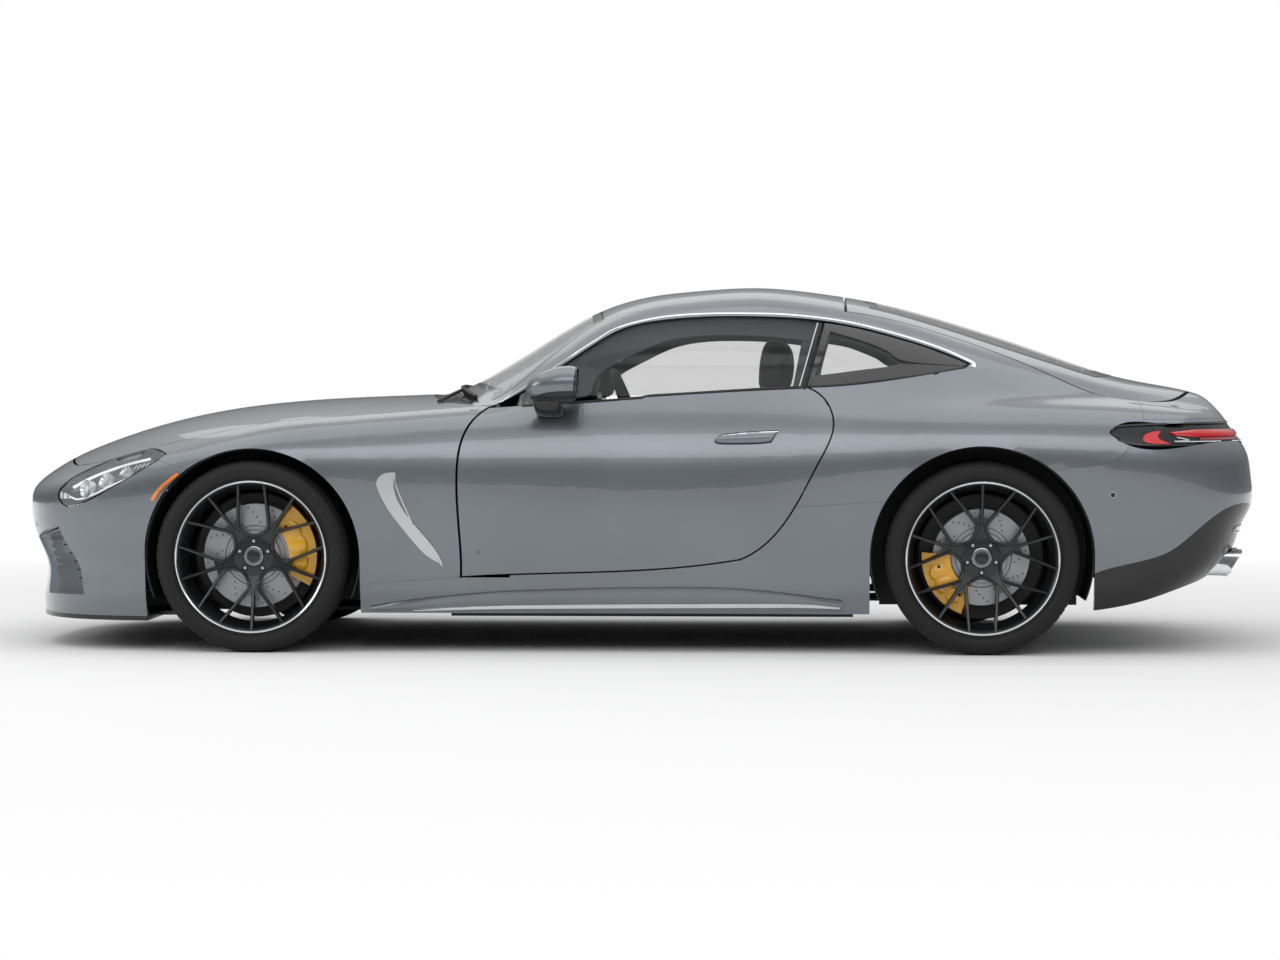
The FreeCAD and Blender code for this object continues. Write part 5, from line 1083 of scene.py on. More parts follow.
class COUPE_OT_brakes(bpy.types.Operator):
    """Build the drilled discs, the dust shields and the yellow calipers"""
    bl_idname = "coupe.brakes"
    bl_label = "Brakes"

    def execute(self, context):
        for at in corners():
            self.disc(at)
        for at in corners():
            self.shield(at)
        for at in corners():
            self.caliper(at)
        return {"FINISHED"}

    def disc(self, at):
        """A vented rotor on its hat, with curved rows of drilled holes drawn as dark discs of painted shade.
        """
        low, high, inner, outer = at.box("brake_disc")
        radius = (high.x - low.x) / 2
        face = inner + HAT_DEEP
        profile = [(0.036, inner + 0.008), (0.088, inner + 0.008), (0.088, inner), (radius - 0.002, inner),
                   (radius, inner + 0.002), (radius, inner + 0.013), (radius - 0.006, inner + 0.0135),
                   (radius - 0.006, inner + 0.0225), (radius, inner + 0.023), (radius, face - 0.002),
                   (radius - 0.002, face), (0.1130, face), (0.1100, face - 0.003), (0.0960, face - 0.003),
                   (0.0950, outer - 0.002), (0.0930, outer), (0.036, outer)]
        made = at.put("drilled_disc", lathe(profile, 128), disc_iron(), at.wheel, node="brake_disc")
        turned = made.data.uv_layers.new(name="turned")
        for loop in made.data.loops:
            p = made.data.vertices[loop.vertex_index].co
            turned.data[loop.index].uv = (math.hypot(p.x - at.axle[0], p.z - at.axle[1]), 0.0)
        # Each hole is a flat dark disc on the face: painted shade for the dark inside of a drilled hole.
        row = Shape()
        for k in range(4):
            spot = polar(0.125 + (radius - 0.140) * k / 3, 5.5 * k)
            row.join(lathe(HOLE, 10, closed=False).shifted(spot.x, face, spot.z))
        at.put("disc_hole_shades", ringed(row, 12, 8, seal_and_shade_black()), seal_and_shade_black(), at.wheel)

    def shield(self, at):
        """The dust shield behind a disc, and the wheel house's inner wall, which close the view across."""
        inner = at.box("brake_disc")[2] - SHIELD_GAP
        plate = lathe([(SHIELD_INNER, inner), (SHIELD_RADIUS - 0.004, inner),
                       (SHIELD_RADIUS - 0.002, inner + 0.004),
                       (SHIELD_RADIUS, inner + 0.004), (SHIELD_RADIUS - 0.001, inner - 0.0015),
                       (SHIELD_INNER, inner - 0.0015)], 64)
        at.put("dust_shield", plate, dark_steel(), at.hub)
        near = ACROSS * APRON_Y[at.end]
        far = near + ACROSS * APRON_WALL
        rings = []
        for i in range(17):
            edge = polar(APRON_RADIUS, 180 * i / 16)
            arc = Vector((edge.x, 0, edge.z * APRON_SQUASH))
            foot = Vector((edge.x, 0, APRON_FOOT))
            rings.append([arc + near, arc + far, foot + far, foot + near])
        at.put("wheel_house_wall", loft(rings), grained_black(), "shell")

    def caliper(self, at):
        """A six-lobed enamelled body with its bolts and the lines of its bridge."""
        dress(f"caliper_{at.name}", caliper_enamel())
        low, high, _, face = at.box("caliper")
        middle = Vector(((low.x + high.x) / 2 - at.axle[0], 0, (low.z + high.z) / 2 - at.axle[1]))
        bearing = math.degrees(math.atan2(middle.z, middle.x))
        radius = middle.length + CALIPER_OUT
        half = CALIPER_HALF_DEG[at.end]
        rings = []
        steps = 44
        for i in range(steps + 1):
            share = i / steps
            out = polar(1, bearing - half + 2 * half * share)
            lobe = abs(math.sin(3 * math.pi * share)) ** 0.6 * min(1.0, 7 * share, 7 * (1 - share))
            wide = 0.026 + 0.010 * lobe
            deep = 0.003 + 0.004 * lobe
            base = out * (radius + 0.004) + ACROSS * face
            section = [(-wide, -0.006), (-wide, deep - 0.003), (-wide + 0.005, deep), (wide - 0.012, deep),
                       (wide - 0.004, deep - 0.002), (wide, deep - 0.007), (wide, -0.012)]
            rings.append([base + out * a + ACROSS * b for a, b in section])
        at.put("caliper_cover", loft(rings), caliper_enamel(), at.hub, smooth_deg=40)
        bolts = Shape()
        for share in (-0.88, 0.88):
            spot = polar(radius - 0.004, bearing + half * share)
            bolts.join(lathe(CALIPER_BOLT, 12, closed=False).shifted(spot.x, face + 0.003, spot.z))
        ribs = Shape()
        for share in (-0.34, 0.34):
            start = polar(radius - 0.020, bearing + half * share) + ACROSS * (face + 0.0022)
            end = polar(radius + 0.018, bearing + half * share * 1.03) + ACROSS * (face + 0.0010)
            ribs.join(swept([start, end], [ACROSS] * 2, ribbon(0.0014, 0.0006)))
        at.put("caliper_bolts", bolts, dark_steel(), at.hub)
        at.put("caliper_ribs", ribs, seal_and_shade_black(), at.hub)


GLASS_TOP = share_path((0.4212, 0.7217), (0.4690, 0.8316), (0.4904, 0.8740), (0.5221, 0.9000),
                       (0.5544, 0.9095), (0.5906, 0.9108), (0.6289, 0.9060), (0.6717, 0.8870),
                       (0.7139, 0.8500), (0.7454, 0.8140))
STRIP_LIFT = 0.010
STRIP_LEAD = (-0.120, -0.078)
STRIP_TAIL = share_path((0.7640, 0.7925), (0.7705, 0.7800), (0.7700, 0.7690))
WAIST = [(0.652, 0.9835), (0.476, 0.9755), (0.200, 0.9585), (-0.114, 0.9400), (-0.400, 0.9215)]
DIVIDER = [(0.7080, 1.2240), (0.6850, 1.1450), (0.6600, 1.0560), (0.6400, 0.9870)]
QUARTER_FOOT = [(0.6640, 0.9840), (0.8100, 0.9930), (1.0080, 1.0170), (1.1300, 1.0340), (1.2480, 1.0560)]
FRIT = 0.0006
QUARTER_TOP = [(0.712, 1.228), (0.812, 1.212), (0.911, 1.190), (1.011, 1.160), (1.100, 1.131)]
QUARTER_LOW = [(0.668, 0.986), (0.750, 0.990), (0.850, 0.999), (0.950, 1.010), (1.034, 1.022), (1.245, 1.058)]
LINING_OUT = Vector((0, 0.94, 0.34))
LINING_FACES = (-0.046, -0.034)
POST_FACES = (-0.052, -0.040)


class COUPE_OT_strips(bpy.types.Operator):
    """Lay the bright window strips, the seals, the glass borders and the linings"""
    bl_idname = "coupe.strips"
    bl_label = "Strips and seals"

    def execute(self, context):
        half = context.scene.coupe_sizes.window_strip
        skin = from_side("body_sides", "front_fenders", "roof", "windshield")
        top = [(x, z + STRIP_LIFT) for x, z in GLASS_TOP]
        lead = [(top[0][0] + STRIP_LEAD[0], top[0][1] + STRIP_LEAD[1])]
        pair("window_strip", strip(skin, lead + top + STRIP_TAIL, half, 0.0022, flare=0.0045), chrome())
        foot = sheet(skin, [(-0.600, 0.925), (-0.540, 0.965), (-0.455, 0.992)],
                     [(-0.600, 0.913), (-0.520, 0.915), (-0.430, 0.926)], -0.001, 0.0012, rows=1)
        pair("pillar_foot", foot, paint())
        door = from_side("door_right", "door_glass_right", "front_fenders")
        pair("waist_seal", strip(door, WAIST, 0.0055, 0.0030), seal_and_shade_black(), DOOR)
        pair("glass_edge_seal", strip(door, DIVIDER, 0.0075, 0.0012), seal_and_shade_black(), DOOR)
        edge = [(x - 0.0095, z) for x, z in DIVIDER]
        pair("glass_edge_trim", strip(door, edge, 0.0026, 0.0022), satin_alloy(), DOOR)
        quarter = from_side("quarter_glass", "body_sides")
        pair("quarter_seal", strip(quarter, QUARTER_FOOT, 0.0045, 0.0026), seal_and_shade_black())
        self.borders()
        self.linings()
        return {"FINISHED"}

    def border(self, name, find, body, *bands):
        """Black ceramic bands baked on one pane, each from its outer line to its inner one."""
        made = Shape()
        for outer, inner, high in bands:
            made.join(sheet(find, outer, inner, -0.001, high))
        pair(name, made, ceramic_black(), body)

    def borders(self):
        """The bands round the quarter glass, the windscreen and the tailgate's glass."""
        clear_top = [(0.744, 1.193), (0.818, 1.171), (0.880, 1.151), (0.950, 1.122), (1.026, 1.080),
                     (1.240, 1.062)]
        clear_low = [(0.688, 1.026), (0.760, 1.034), (0.850, 1.046), (0.950, 1.058), (1.026, 1.070),
                     (1.240, 1.060)]
        fore = [(0.728, 1.228), (0.706, 1.150), (0.681, 1.060), (0.662, 0.986)]
        fore_inset = [(0.746, 1.196), (0.727, 1.140), (0.701, 1.065), (0.686, 1.020)]
        self.border("quarter_border", from_side("quarter_glass"), "shell",
                    (QUARTER_TOP + [(1.258, 1.070)], clear_top, FRIT), (clear_low, QUARTER_LOW, FRIT),
                    (fore, fore_inset, FRIT - 0.0001))
        self.border("screen_border", from_top("windshield"), "shell",
                    (share_plan((0.3835, 0.700), (0.3700, 0.570), (0.3560, 0.320), (0.3515, 0.0)),
                     share_plan((0.3960, 0.640), (0.3830, 0.520), (0.3700, 0.300), (0.3655, 0.0)), FRIT),
                    (share_plan((0.3835, 0.700), (0.405, 0.662), (0.440, 0.583), (0.474, 0.500)),
                     share_plan((0.3960, 0.640), (0.412, 0.615), (0.443, 0.545), (0.470, 0.478)), FRIT),
                    (share_plan((0.474, 0.492), (0.4700, 0.22), (0.4685, 0.0)),
                     share_plan((0.467, 0.478), (0.4630, 0.22), (0.4612, 0.0)), FRIT))
        self.border("hatch_border", from_top("tailgate_glass"), "tailgate",
                    (share_plan((0.6900, 0.430), (0.7400, 0.450), (0.80, 0.490), (0.8690, 0.533)),
                     share_plan((0.6980, 0.385), (0.7400, 0.405), (0.80, 0.445), (0.8600, 0.480)), FRIT),
                    (share_plan((0.6890, 0.432), (0.6885, 0.22), (0.6880, 0.0)),
                     share_plan((0.6980, 0.390), (0.6970, 0.22), (0.6965, 0.0)), FRIT),
                    (share_plan((0.8690, 0.533), (0.8860, 0.30), (0.8905, 0.0)),
                     share_plan((0.8600, 0.480), (0.8740, 0.30), (0.8785, 0.0)), FRIT))

    def linings(self):
        """The padded roof rail and the post's lining, seen through the glass, and the mirror's triangle."""
        wall = steady(from_side("door_glass_right", "quarter_glass", "body_sides", "roof"), LINING_OUT)
        rail_top = [(-0.380, 1.005), (-0.300, 1.055), (-0.147, 1.153), (-0.045, 1.211), (0.104, 1.247),
                    (0.257, 1.260), (0.428, 1.261), (0.609, 1.254), (0.730, 1.243)]
        rail_low = [(-0.330, 0.960), (-0.165, 0.962), (-0.124, 1.042), (-0.010, 1.108), (0.120, 1.166),
                    (0.257, 1.189), (0.428, 1.191), (0.580, 1.181), (0.700, 1.163)]
        quarter_inner = [(0.700, 1.188), (0.818, 1.168), (0.880, 1.148), (0.950, 1.119), (1.020, 1.082),
                         (1.200, 1.062)]
        sill_top = [(0.688, 1.022), (0.760, 1.031), (0.850, 1.043), (0.950, 1.055), (1.030, 1.070)]
        sill_low = [(0.668, 0.984), (0.750, 0.987), (0.850, 0.996), (0.950, 1.008), (1.034, 1.020)]
        rail = sheet(wall, rail_top, rail_low, *LINING_FACES, crown=-0.006)
        rail.join(sheet(wall, QUARTER_TOP + [(1.250, 1.074)], quarter_inner, *LINING_FACES))
        rail.join(sheet(wall, sill_top, sill_low, *LINING_FACES))
        pair("rail_lining", rail, lining_cloth(), smooth_deg=60)
        post = sheet(wall, [(0.650, 1.215), (0.635, 1.150), (0.618, 1.060), (0.600, 0.975)],
                     [(0.760, 1.215), (0.735, 1.150), (0.712, 1.060), (0.700, 0.975)], *POST_FACES)
        pair("post_lining", post, lining_cloth())
        sail = sheet(from_side("door_glass_right", "door_right"),
                     [(-0.425, 0.955), (-0.350, 1.000), (-0.262, 1.050)],
                     [(-0.415, 0.936), (-0.320, 0.939), (-0.225, 0.944)], -0.001, 0.0015)
        pair("mirror_triangle", sail, gloss_black(), DOOR)


LAMP_TOP = [(-2.143, 0.592), (-2.088, 0.644), (-2.001, 0.689), (-1.900, 0.729), (-1.800, 0.750),
            (-1.735, 0.740)]
LAMP_LOW = [(-2.141, 0.566), (-2.108, 0.541), (-2.043, 0.555), (-1.951, 0.599), (-1.850, 0.656),
            (-1.730, 0.731)]
TRAY_INSET = 0.10
TRAY_DEEP = 0.052
LENS_WALL = 0.003
# Each projector's (x, z) and radius
PROJECTORS = ((-2.045, 0.610, 0.030), (-1.965, 0.655, 0.027), (-1.890, 0.690, 0.021))
TAIL_CENTRE = 1.3
# Bearings round the tail, in degrees from straight back: the lamps' inner end, and two places on the way to it
TAIL_INNER = 24.6
TAIL_MIDDLE = 38.0
TAIL_OUTER = 47.0


class COUPE_OT_lamps(bpy.types.Operator):
    """Build the headlamps, the tail lamps and the small lenses"""
    bl_idname = "coupe.lamps"
    bl_label = "Lamps"

    def execute(self, context):
        find = from_side("headlamps")
        pair("headlamp_lens", sheet(find, LAMP_TOP, LAMP_LOW, -LENS_WALL, 0.0, rows=8), lamp_glass(),
             replaces=("headlamps",))
        middle = [((a + c) / 2, (b + d) / 2) for (a, b), (c, d) in zip(LAMP_TOP, LAMP_LOW)]
        inset_top, inset_low = [[(a + (m - a) * TRAY_INSET, b + (n - b) * TRAY_INSET)
                                 for (a, b), (m, n) in zip(line, middle)] for line in (LAMP_TOP, LAMP_LOW)]
        tray = sheet(find, inset_top, inset_low, -0.056, -0.050, steps=6, rows=6)
        tray.join(self.wall(find, LAMP_TOP, inset_top)).join(self.wall(find, LAMP_LOW, inset_low))
        pair("headlamp_tray", tray, lamp_black())
        self.projectors(find)
        self.day_lights(find)
        self.tails()
        return {"FINISHED"}

    def wall(self, find, line, inset):
        """The side of a lamp's tray, from the lens back to the floor."""
        made = []
        for p, q in zip(flat_path(line, 6), flat_path(inset, 6)):
            front, out = find(p.x, p.z)
            back, way = find(q.x, q.z)
            front = front - out * LENS_WALL
            back = back - way * TRAY_DEEP
            made.append([front, back, back + (back - front).normalized() * 0.002, front - out * 0.002])
        return loft(made)

    def projectors(self, find):
        """Three projectors in bright bowls."""
        bowls = Shape()
        eyes = Shape()
        collars = Shape()
        for x, z, radius in PROJECTORS:
            place, normal = find(x, z)
            turn = ACROSS.rotation_difference((normal - BACK * 0.5).normalized()).to_matrix()
            spot = Matrix.Translation(place - normal * 0.030) @ turn.to_4x4()
            bowls.join(lathe([(radius * 0.72, -0.022), (radius * 0.74, 0.001), (radius, 0.010),
                              (radius + 0.002, 0.010), (radius * 0.80, -0.022)], 40).moved(spot))
            dome = [(0.0, 0.006), (radius * 0.35, 0.0050), (radius * 0.58, 0.0015), (radius * 0.72, -0.004),
                    (radius * 0.72, -0.010)]
            eyes.join(lathe(dome, 32, closed=False).moved(spot))
            collars.join(lathe([(radius + 0.0021, 0.008), (radius + 0.004, 0.008), (radius + 0.0035, -0.020),
                                (radius + 0.0021, -0.020)], 40).moved(spot))
        pair("projector_bowl", bowls, chrome())
        pair("projector_eye", eyes, lamp_eye())
        pair("projector_ring", collars, satin_alloy())

    def day_lights(self, find):
        """The day lights over and under the projectors, and the fins beside them."""
        over = [(-2.100, 0.618), (-2.040, 0.656), (-1.960, 0.690), (-1.880, 0.717), (-1.800, 0.735)]
        under = [(-2.118, 0.575), (-2.080, 0.564), (-2.020, 0.580), (-1.940, 0.620), (-1.860, 0.662),
                 (-1.790, 0.700)]
        guide = strip(find, over, 0.0045, 0.004, sink=0.022)
        guide.join(strip(find, under, 0.0030, 0.004, sink=0.026))
        pair("day_light", guide, lens("frosted_light_guide", "eef3f8", 0.5))
        fins = Shape()
        for k in range(7):
            x = -1.860 + 0.016 * k
            line = [(x, 0.700 + 0.0035 * k), (x + 0.008, 0.716 + 0.0030 * k)]
            fins.join(strip(find, line, 0.0028, 0.003, steps=2, sink=0.030))
        pair("lamp_fins", fins, satin_alloy())

    def tails(self):
        """Smoked housings round the tail's corners, with ruby bars, a bright line and a front arrow."""
        side = from_side("tail_lamps")
        wrap = round_tail(TAIL_CENTRE, "tail_lamps")

        def bearings(*points):
            made = []
            for x, z in points:
                place, _ = side(x, z)
                made.append((math.degrees(math.atan2(place.y, place.x - TAIL_CENTRE)), place.z))
            return made

        start = bearings((1.768, 0.815))[0][0]
        top = [(start, 0.822)] + bearings((1.800, 0.840), (1.948, 0.848), (2.096, 0.851))
        top += [(TAIL_MIDDLE, 0.853), (TAIL_INNER, 0.853)]
        foot = [(start, 0.812)] + bearings((1.800, 0.788), (1.880, 0.773), (2.071, 0.772))
        foot += [(TAIL_MIDDLE, 0.776), (TAIL_INNER, 0.778)]
        tray = sheet(wrap, top, foot, -0.010, -0.004, rows=6)
        pair("tail_tray", tray, lamp_black(), replaces=("tail_lamps",))
        rim = strip(wrap, top, 0.0040, 0.0015).join(strip(wrap, foot, 0.0040, 0.0015))
        pair("tail_rim", rim, gloss_black())
        inside = bearings((1.951, 0.822), (1.940, 0.804), (1.951, 0.790), (1.991, 0.774))
        outside = bearings((1.926, 0.821), (1.892, 0.808), (1.888, 0.786), (1.932, 0.774))
        arrow = sheet(wrap, inside, outside, -0.004, 0.0005, rows=3)
        # The arrow's lens is a reflector: its glow of 0.25 is painted light, since a reflector gives none.
        pair("tail_arrow", arrow, lens("ruby_reflector", "c8232b", 0.25))
        first = bearings((1.985, 0.812))[0][0]
        end = TAIL_INNER + 1.5
        bar = sheet(wrap, [(first, 0.818), (first - 4, 0.825), (TAIL_OUTER, 0.827), (TAIL_MIDDLE, 0.828),
                           (end, 0.828)],
                    [(first - 1, 0.806), (first - 4, 0.802), (TAIL_OUTER, 0.802), (TAIL_MIDDLE, 0.803),
                     (end, 0.804)], -0.004, 0.001, crown=0.005)
        pair("tail_bar", bar, lens("ruby_acrylic", "a80f16", 0.45))
        low = sheet(wrap, [(first - 6, 0.797), (TAIL_OUTER, 0.798), (TAIL_MIDDLE, 0.799), (end, 0.799)],
                    [(first - 6, 0.792), (TAIL_OUTER, 0.790), (TAIL_MIDDLE, 0.791), (end, 0.792)],
                    -0.004, 0.0, rows=3)
        pair("tail_lower_bar", low, lens("deep_ruby_acrylic", "7d0c12", 0.2))
        line = [(first - 1.0, 0.799), (first - 3.0, 0.788), (52.0, 0.7835), (TAIL_MIDDLE, 0.7845),
                (TAIL_INNER + 1, 0.787)]
        pair("tail_line", strip(wrap, line, 0.0024, 0.0040), chrome())


GRIP_TOP = [(0.317, 0.7865), (0.345, 0.8050), (0.412, 0.8130), (0.480, 0.8180), (0.551, 0.8205)]
GRIP_LOW = [(0.317, 0.7825), (0.338, 0.7760), (0.412, 0.7750), (0.480, 0.7770), (0.527, 0.7820)]
LOUVRE_STEPS = range(2, 7)
LOUVRE = [(-0.002, -0.004), (-0.002, 0.012), (0.002, 0.012), (0.002, -0.004)]
# The mirror's head and stalk: where each is, and its half width and half thickness
MIRROR_Y = 0.955
MIRROR_HEAD = [(-0.374, 0.958, 0.006, 0.004), (-0.366, 0.961, 0.034, 0.022), (-0.345, 0.970, 0.060, 0.040),
               (-0.310, 0.984, 0.080, 0.054), (-0.262, 0.993, 0.092, 0.063), (-0.215, 0.996, 0.098, 0.066),
               (-0.194, 0.995, 0.095, 0.062)]
STALK = ((-0.300, 0.960, 0.950, 0.050, 0.040), (-0.298, 0.940, 0.928, 0.052, 0.036),
         (-0.294, 0.905, 0.905, 0.052, 0.030), (-0.290, 0.868, 0.890, 0.054, 0.022),
         (-0.290, 0.845, 0.884, 0.054, 0.018))
SKIRT_TOP = [(-0.960, 0.170), (-0.770, 0.199), (-0.473, 0.226), (0.044, 0.243), (0.420, 0.238),
             (0.790, 0.196)]
SKIRT_LOW = [(-0.960, 0.156), (-0.770, 0.154), (-0.473, 0.152), (0.044, 0.150), (0.420, 0.152),
             (0.790, 0.158)]
BRIGHT_TOP = [(-0.800, 0.159), (-0.547, 0.176), (-0.251, 0.182), (0.265, 0.187), (0.620, 0.188),
              (0.780, 0.176)]
BRIGHT_LOW = [(-0.800, 0.157), (-0.547, 0.164), (-0.251, 0.168), (0.265, 0.172), (0.620, 0.174),
              (0.780, 0.170)]
SENSOR_EYE = [(0.0, 0.0008), (0.0075, 0.0008), (0.0085, 0.0002), (0.0085, -0.002)]
SENSOR_RING = [(0.0088, -0.002), (0.0088, 0.0012), (0.0104, 0.0012), (0.0112, -0.001)]
PIPE_PLACES = (0.640, 0.510)
PIPE_LEVEL = 0.327
PIPE_SLANT = 0.60
PIPE_HALF = 0.060
PIPE_TALL = 0.046
PIPE_LIP = ((0.0000, 2.140), (0.0010, 2.226), (0.0030, 2.244), (0.0036, 2.250), (0.0020, 2.2525),
            (-0.0045, 2.251), (-0.0065, 2.240), (-0.0070, 2.200))
# Each blade's inner end and length
WIPER_RUNS = ((-0.60, 0.60), (0.02, 0.56))
WIPER_BLADE = [(-0.0035, -0.011), (-0.007, 0.0), (-0.006, 0.007), (0.006, 0.007), (0.007, 0.0),
               (0.0035, -0.011)]
WIPER_ARM = [(-0.006, -0.004), (-0.006, 0.003), (-0.003, 0.006), (0.003, 0.006), (0.006, 0.003),
             (0.006, -0.004)]
WIPER_KNOB = [(0.0, 0.008), (0.010, 0.008), (0.013, 0.005), (0.015, -0.012)]


def grown(points, centre, share, back=0.0):
    """Points drawn towards or away from a centre, and moved back."""
    return [centre + (p - centre) * share + BACK * back for p in points]


class COUPE_OT_trim(bpy.types.Operator):
    """Add handles, mirrors, sills, wipers, sensors and tail pipes"""
    bl_idname = "coupe.trim"
    bl_label = "Outside trim"

    def execute(self, context):
        self.handles()
        self.scoops()
        self.mirrors()
        self.sills()
        self.vents()
        self.reflectors()
        self.sensors()
        self.pipes()
        self.wipers()
        return {"FINISHED"}

    def handles(self):
        """Each door's flush handle with a dark rim painted as the shade in the gap round it, and its bright
        edge.
        """
        door = from_side("door_right")
        grip = sheet(door, GRIP_TOP, GRIP_LOW, 0.001, 0.006, rows=6, crown=0.009)
        pair("door_grip", grip, paint(), DOOR, levels=1)
        # A black plate a little larger than the grip: painted shade for the shadowed gap round the handle.
        around = sheet(door, [(x + 0.0010, z + 0.0035) for x, z in GRIP_TOP],
                       [(x, z - 0.0035) for x, z in GRIP_LOW], -0.001, 0.0012)
        pair("grip_gap_shade", around, seal_and_shade_black(), DOOR)
        edge = [(x, z - 0.004) for x, z in GRIP_TOP[1:]]
        pair("grip_trim", strip(door, edge, 0.0018, 0.0100), chrome(), DOOR)

    def scoops(self):
        """Each corner intake's pocket: a painted inner wall, floor and roof, with black louvres."""
        find = from_ahead("front_bumper")
        walls = []
        backs = []
        blades = Shape()
        inwards = BACK * 0.004
        steps = 8
        for k in range(steps + 1):
            share = k / steps
            outer, _ = find(0.818 - 0.020 * share, 0.206 + 0.250 * share)
            inner, _ = find(0.588 - 0.036 * share, 0.199 + 0.211 * share)
            bend = Vector((outer.x - 0.020, inner.y + 0.035, (outer.z + inner.z) / 2))
            walls.append([inner + inwards, bend, bend + Vector((0.003, 0.003, 0)), inner + inwards * 2])
            backs.append([bend, outer + inwards, outer + inwards * 2, bend + inwards])
            if k in LOUVRE_STEPS:
                run = [bend + (outer - bend) * s - BACK * 0.006 for s in (0.02, 0.35, 0.68, 0.97)]
                blades.join(swept(run, [-BACK] * len(run), LOUVRE))
        for name, wall, back, rise in (("floor", walls[0], backs[0], 0.003),
                                       ("roof", walls[-1], backs[-1], -0.003)):
            low = [wall[0], back[1], wall[1]]
            pair(f"scoop_{name}", loft([low, [p + UP * rise for p in low]]), paint())
        pair("scoop_wall", loft(walls), paint())
        pair("scoop_back", loft(backs), gloss_black())
        pair("scoop_louvres", blades, gloss_black())

    def mirrors(self):
        """Domed heads with a black lower cover, a silvered glass and a slim stalk."""
        rings = rounded([tuple(p) for p in smooth_path(MIRROR_HEAD, 3)], y=MIRROR_Y, power=2.5, count=36)
        pair("mirror_shell", loft(rings), paint(), DOOR, replaces=("mirror_{side}",), smooth_deg=50)
        cover = []
        for ring in rings:
            centre = sum(ring, Vector()) / len(ring)
            top = centre.z + 0.15 * (0.25 * (centre.x + 0.28) - 0.10) - 0.008
            arc = [Vector((p.x, p.y, min(p.z, top))) for p in ring[20:35]]
            cover.append(grown(arc, centre, 1.022) + grown(arc[::-1], centre, 0.97))
        pair("mirror_lower_cover", loft(cover), gloss_black(), DOOR, smooth_deg=50)
        last = rings[-1]
        centre = sum(last, Vector()) / len(last)
        lip = [grown(last, centre, share, back)
               for share, back in ((0.99, 0.0), (0.99, 0.006), (0.92, 0.006), (0.92, 0.0005))]
        pair("mirror_rim", loft(lip), gloss_black(), DOOR, smooth_deg=40)
        pane = loft([grown(last, centre, 0.915, back) for back in (0.0005, 0.0020)])
        pair("mirror_pane", pane, silvered(), DOOR)
        stalk = [[Vector((x + long * across, y, z + thick * rise)) for across, rise in oval(2 / 0.7, 20)]
                 for x, y, z, long, thick in STALK]
        pair("mirror_stalk", loft(stalk), gloss_black(), DOOR, smooth_deg=50)

    def sills(self):
        """A formed skirt under each door with its bright strip."""
        sill = from_side("sills")
        pair("sill_skirt", sheet(sill, SKIRT_TOP, SKIRT_LOW, -0.001, 0.0075, rows=6, crown=0.007), paint())
        pair("sill_strip", sheet(sill, BRIGHT_TOP, BRIGHT_LOW, 0.010, 0.0165, rows=2), chrome())

    def vents(self):
        """The polished edge of each fender's blade."""
        line = [(-0.862, 0.662), (-0.858, 0.620), (-0.815, 0.515), (-0.755, 0.405), (-0.690, 0.322)]
        find = from_side("front_fenders", "vent_blades")
        pair("vent_edge", strip(find, line, 0.0024, 0.0035), turned_alloy())

    def reflectors(self):
        """The red reflector low on each rear corner, with a faint painted glow and its bright rim."""
        corner = round_tail(TAIL_CENTRE, "rear_bumper", "diffuser")
        glow = sheet(corner, [(38.0, 0.466), (35.0, 0.469), (32.0, 0.470), (29.5, 0.469)],
                     [(37.4, 0.450), (35.0, 0.449), (32.0, 0.450), (29.5, 0.452)], -0.001, 0.003, rows=3)
        # The reflector's glow of 0.05 is painted light: a reflector gives no light of its own.
        pair("rear_reflector", glow, lens("prismatic_reflector", "a3131b", 0.05))
        rim = [(38.7, 0.460), (37.7, 0.446), (35.0, 0.444), (32.0, 0.445), (29.0, 0.448)]
        pair("reflector_rim", strip(corner, rim, 0.0022, 0.0042), chrome())

    def sensors(self):
        """Parking sensors in the bumpers."""
        for name, find, a, b in (("side", from_side("rear_bumper"), 1.774, 0.589),
                                 ("rear", from_behind("rear_bumper"), 0.48, 0.60),
                                 ("front", from_ahead("front_bumper"), 0.60, 0.46)):
            place, normal = find(a, b)
            spot = Matrix.Translation(place) @ ACROSS.rotation_difference(normal).to_matrix().to_4x4()
            eye = lathe(SENSOR_EYE, 28, closed=False)
            pair(f"sensor_eye_{name}", eye.moved(spot), grained_black())
            pair(f"sensor_ring_{name}", lathe(SENSOR_RING, 28).moved(spot), satin_alloy())

    def pipes(self):
        """Two slanted tail pipe frames on each side, each closed by a dark plug: partly the pipe's own soot,
        partly painted shade deep inside it.
        """
        frames = Shape()
        throats = Shape()
        for y in PIPE_PLACES:
            frames.join(loft([self.pipe_ring(y, grow, x) for grow, x in PIPE_LIP], caps=False))
            # The dark plug inside each pipe stands for soot and for painted shade.
            throats.join(loft([self.pipe_ring(y, -0.008, x) for x in (2.212, 2.180)]))
        pair("pipe_frame", frames, chrome(), slot="chrome")
        pair("pipe_soot_and_shade", throats, seal_and_shade_black())

    def pipe_ring(self, y, grow, x):
        """One ring of a pipe, larger than it by grow, slanted so that its top lies farther back."""
        made = []
        for across, rise in oval(5.0, 44):
            z = PIPE_LEVEL + (PIPE_TALL + grow) * rise
            made.append(Vector((x + (z - PIPE_LEVEL) * PIPE_SLANT, y + (PIPE_HALF + grow) * across, z)))
        return made

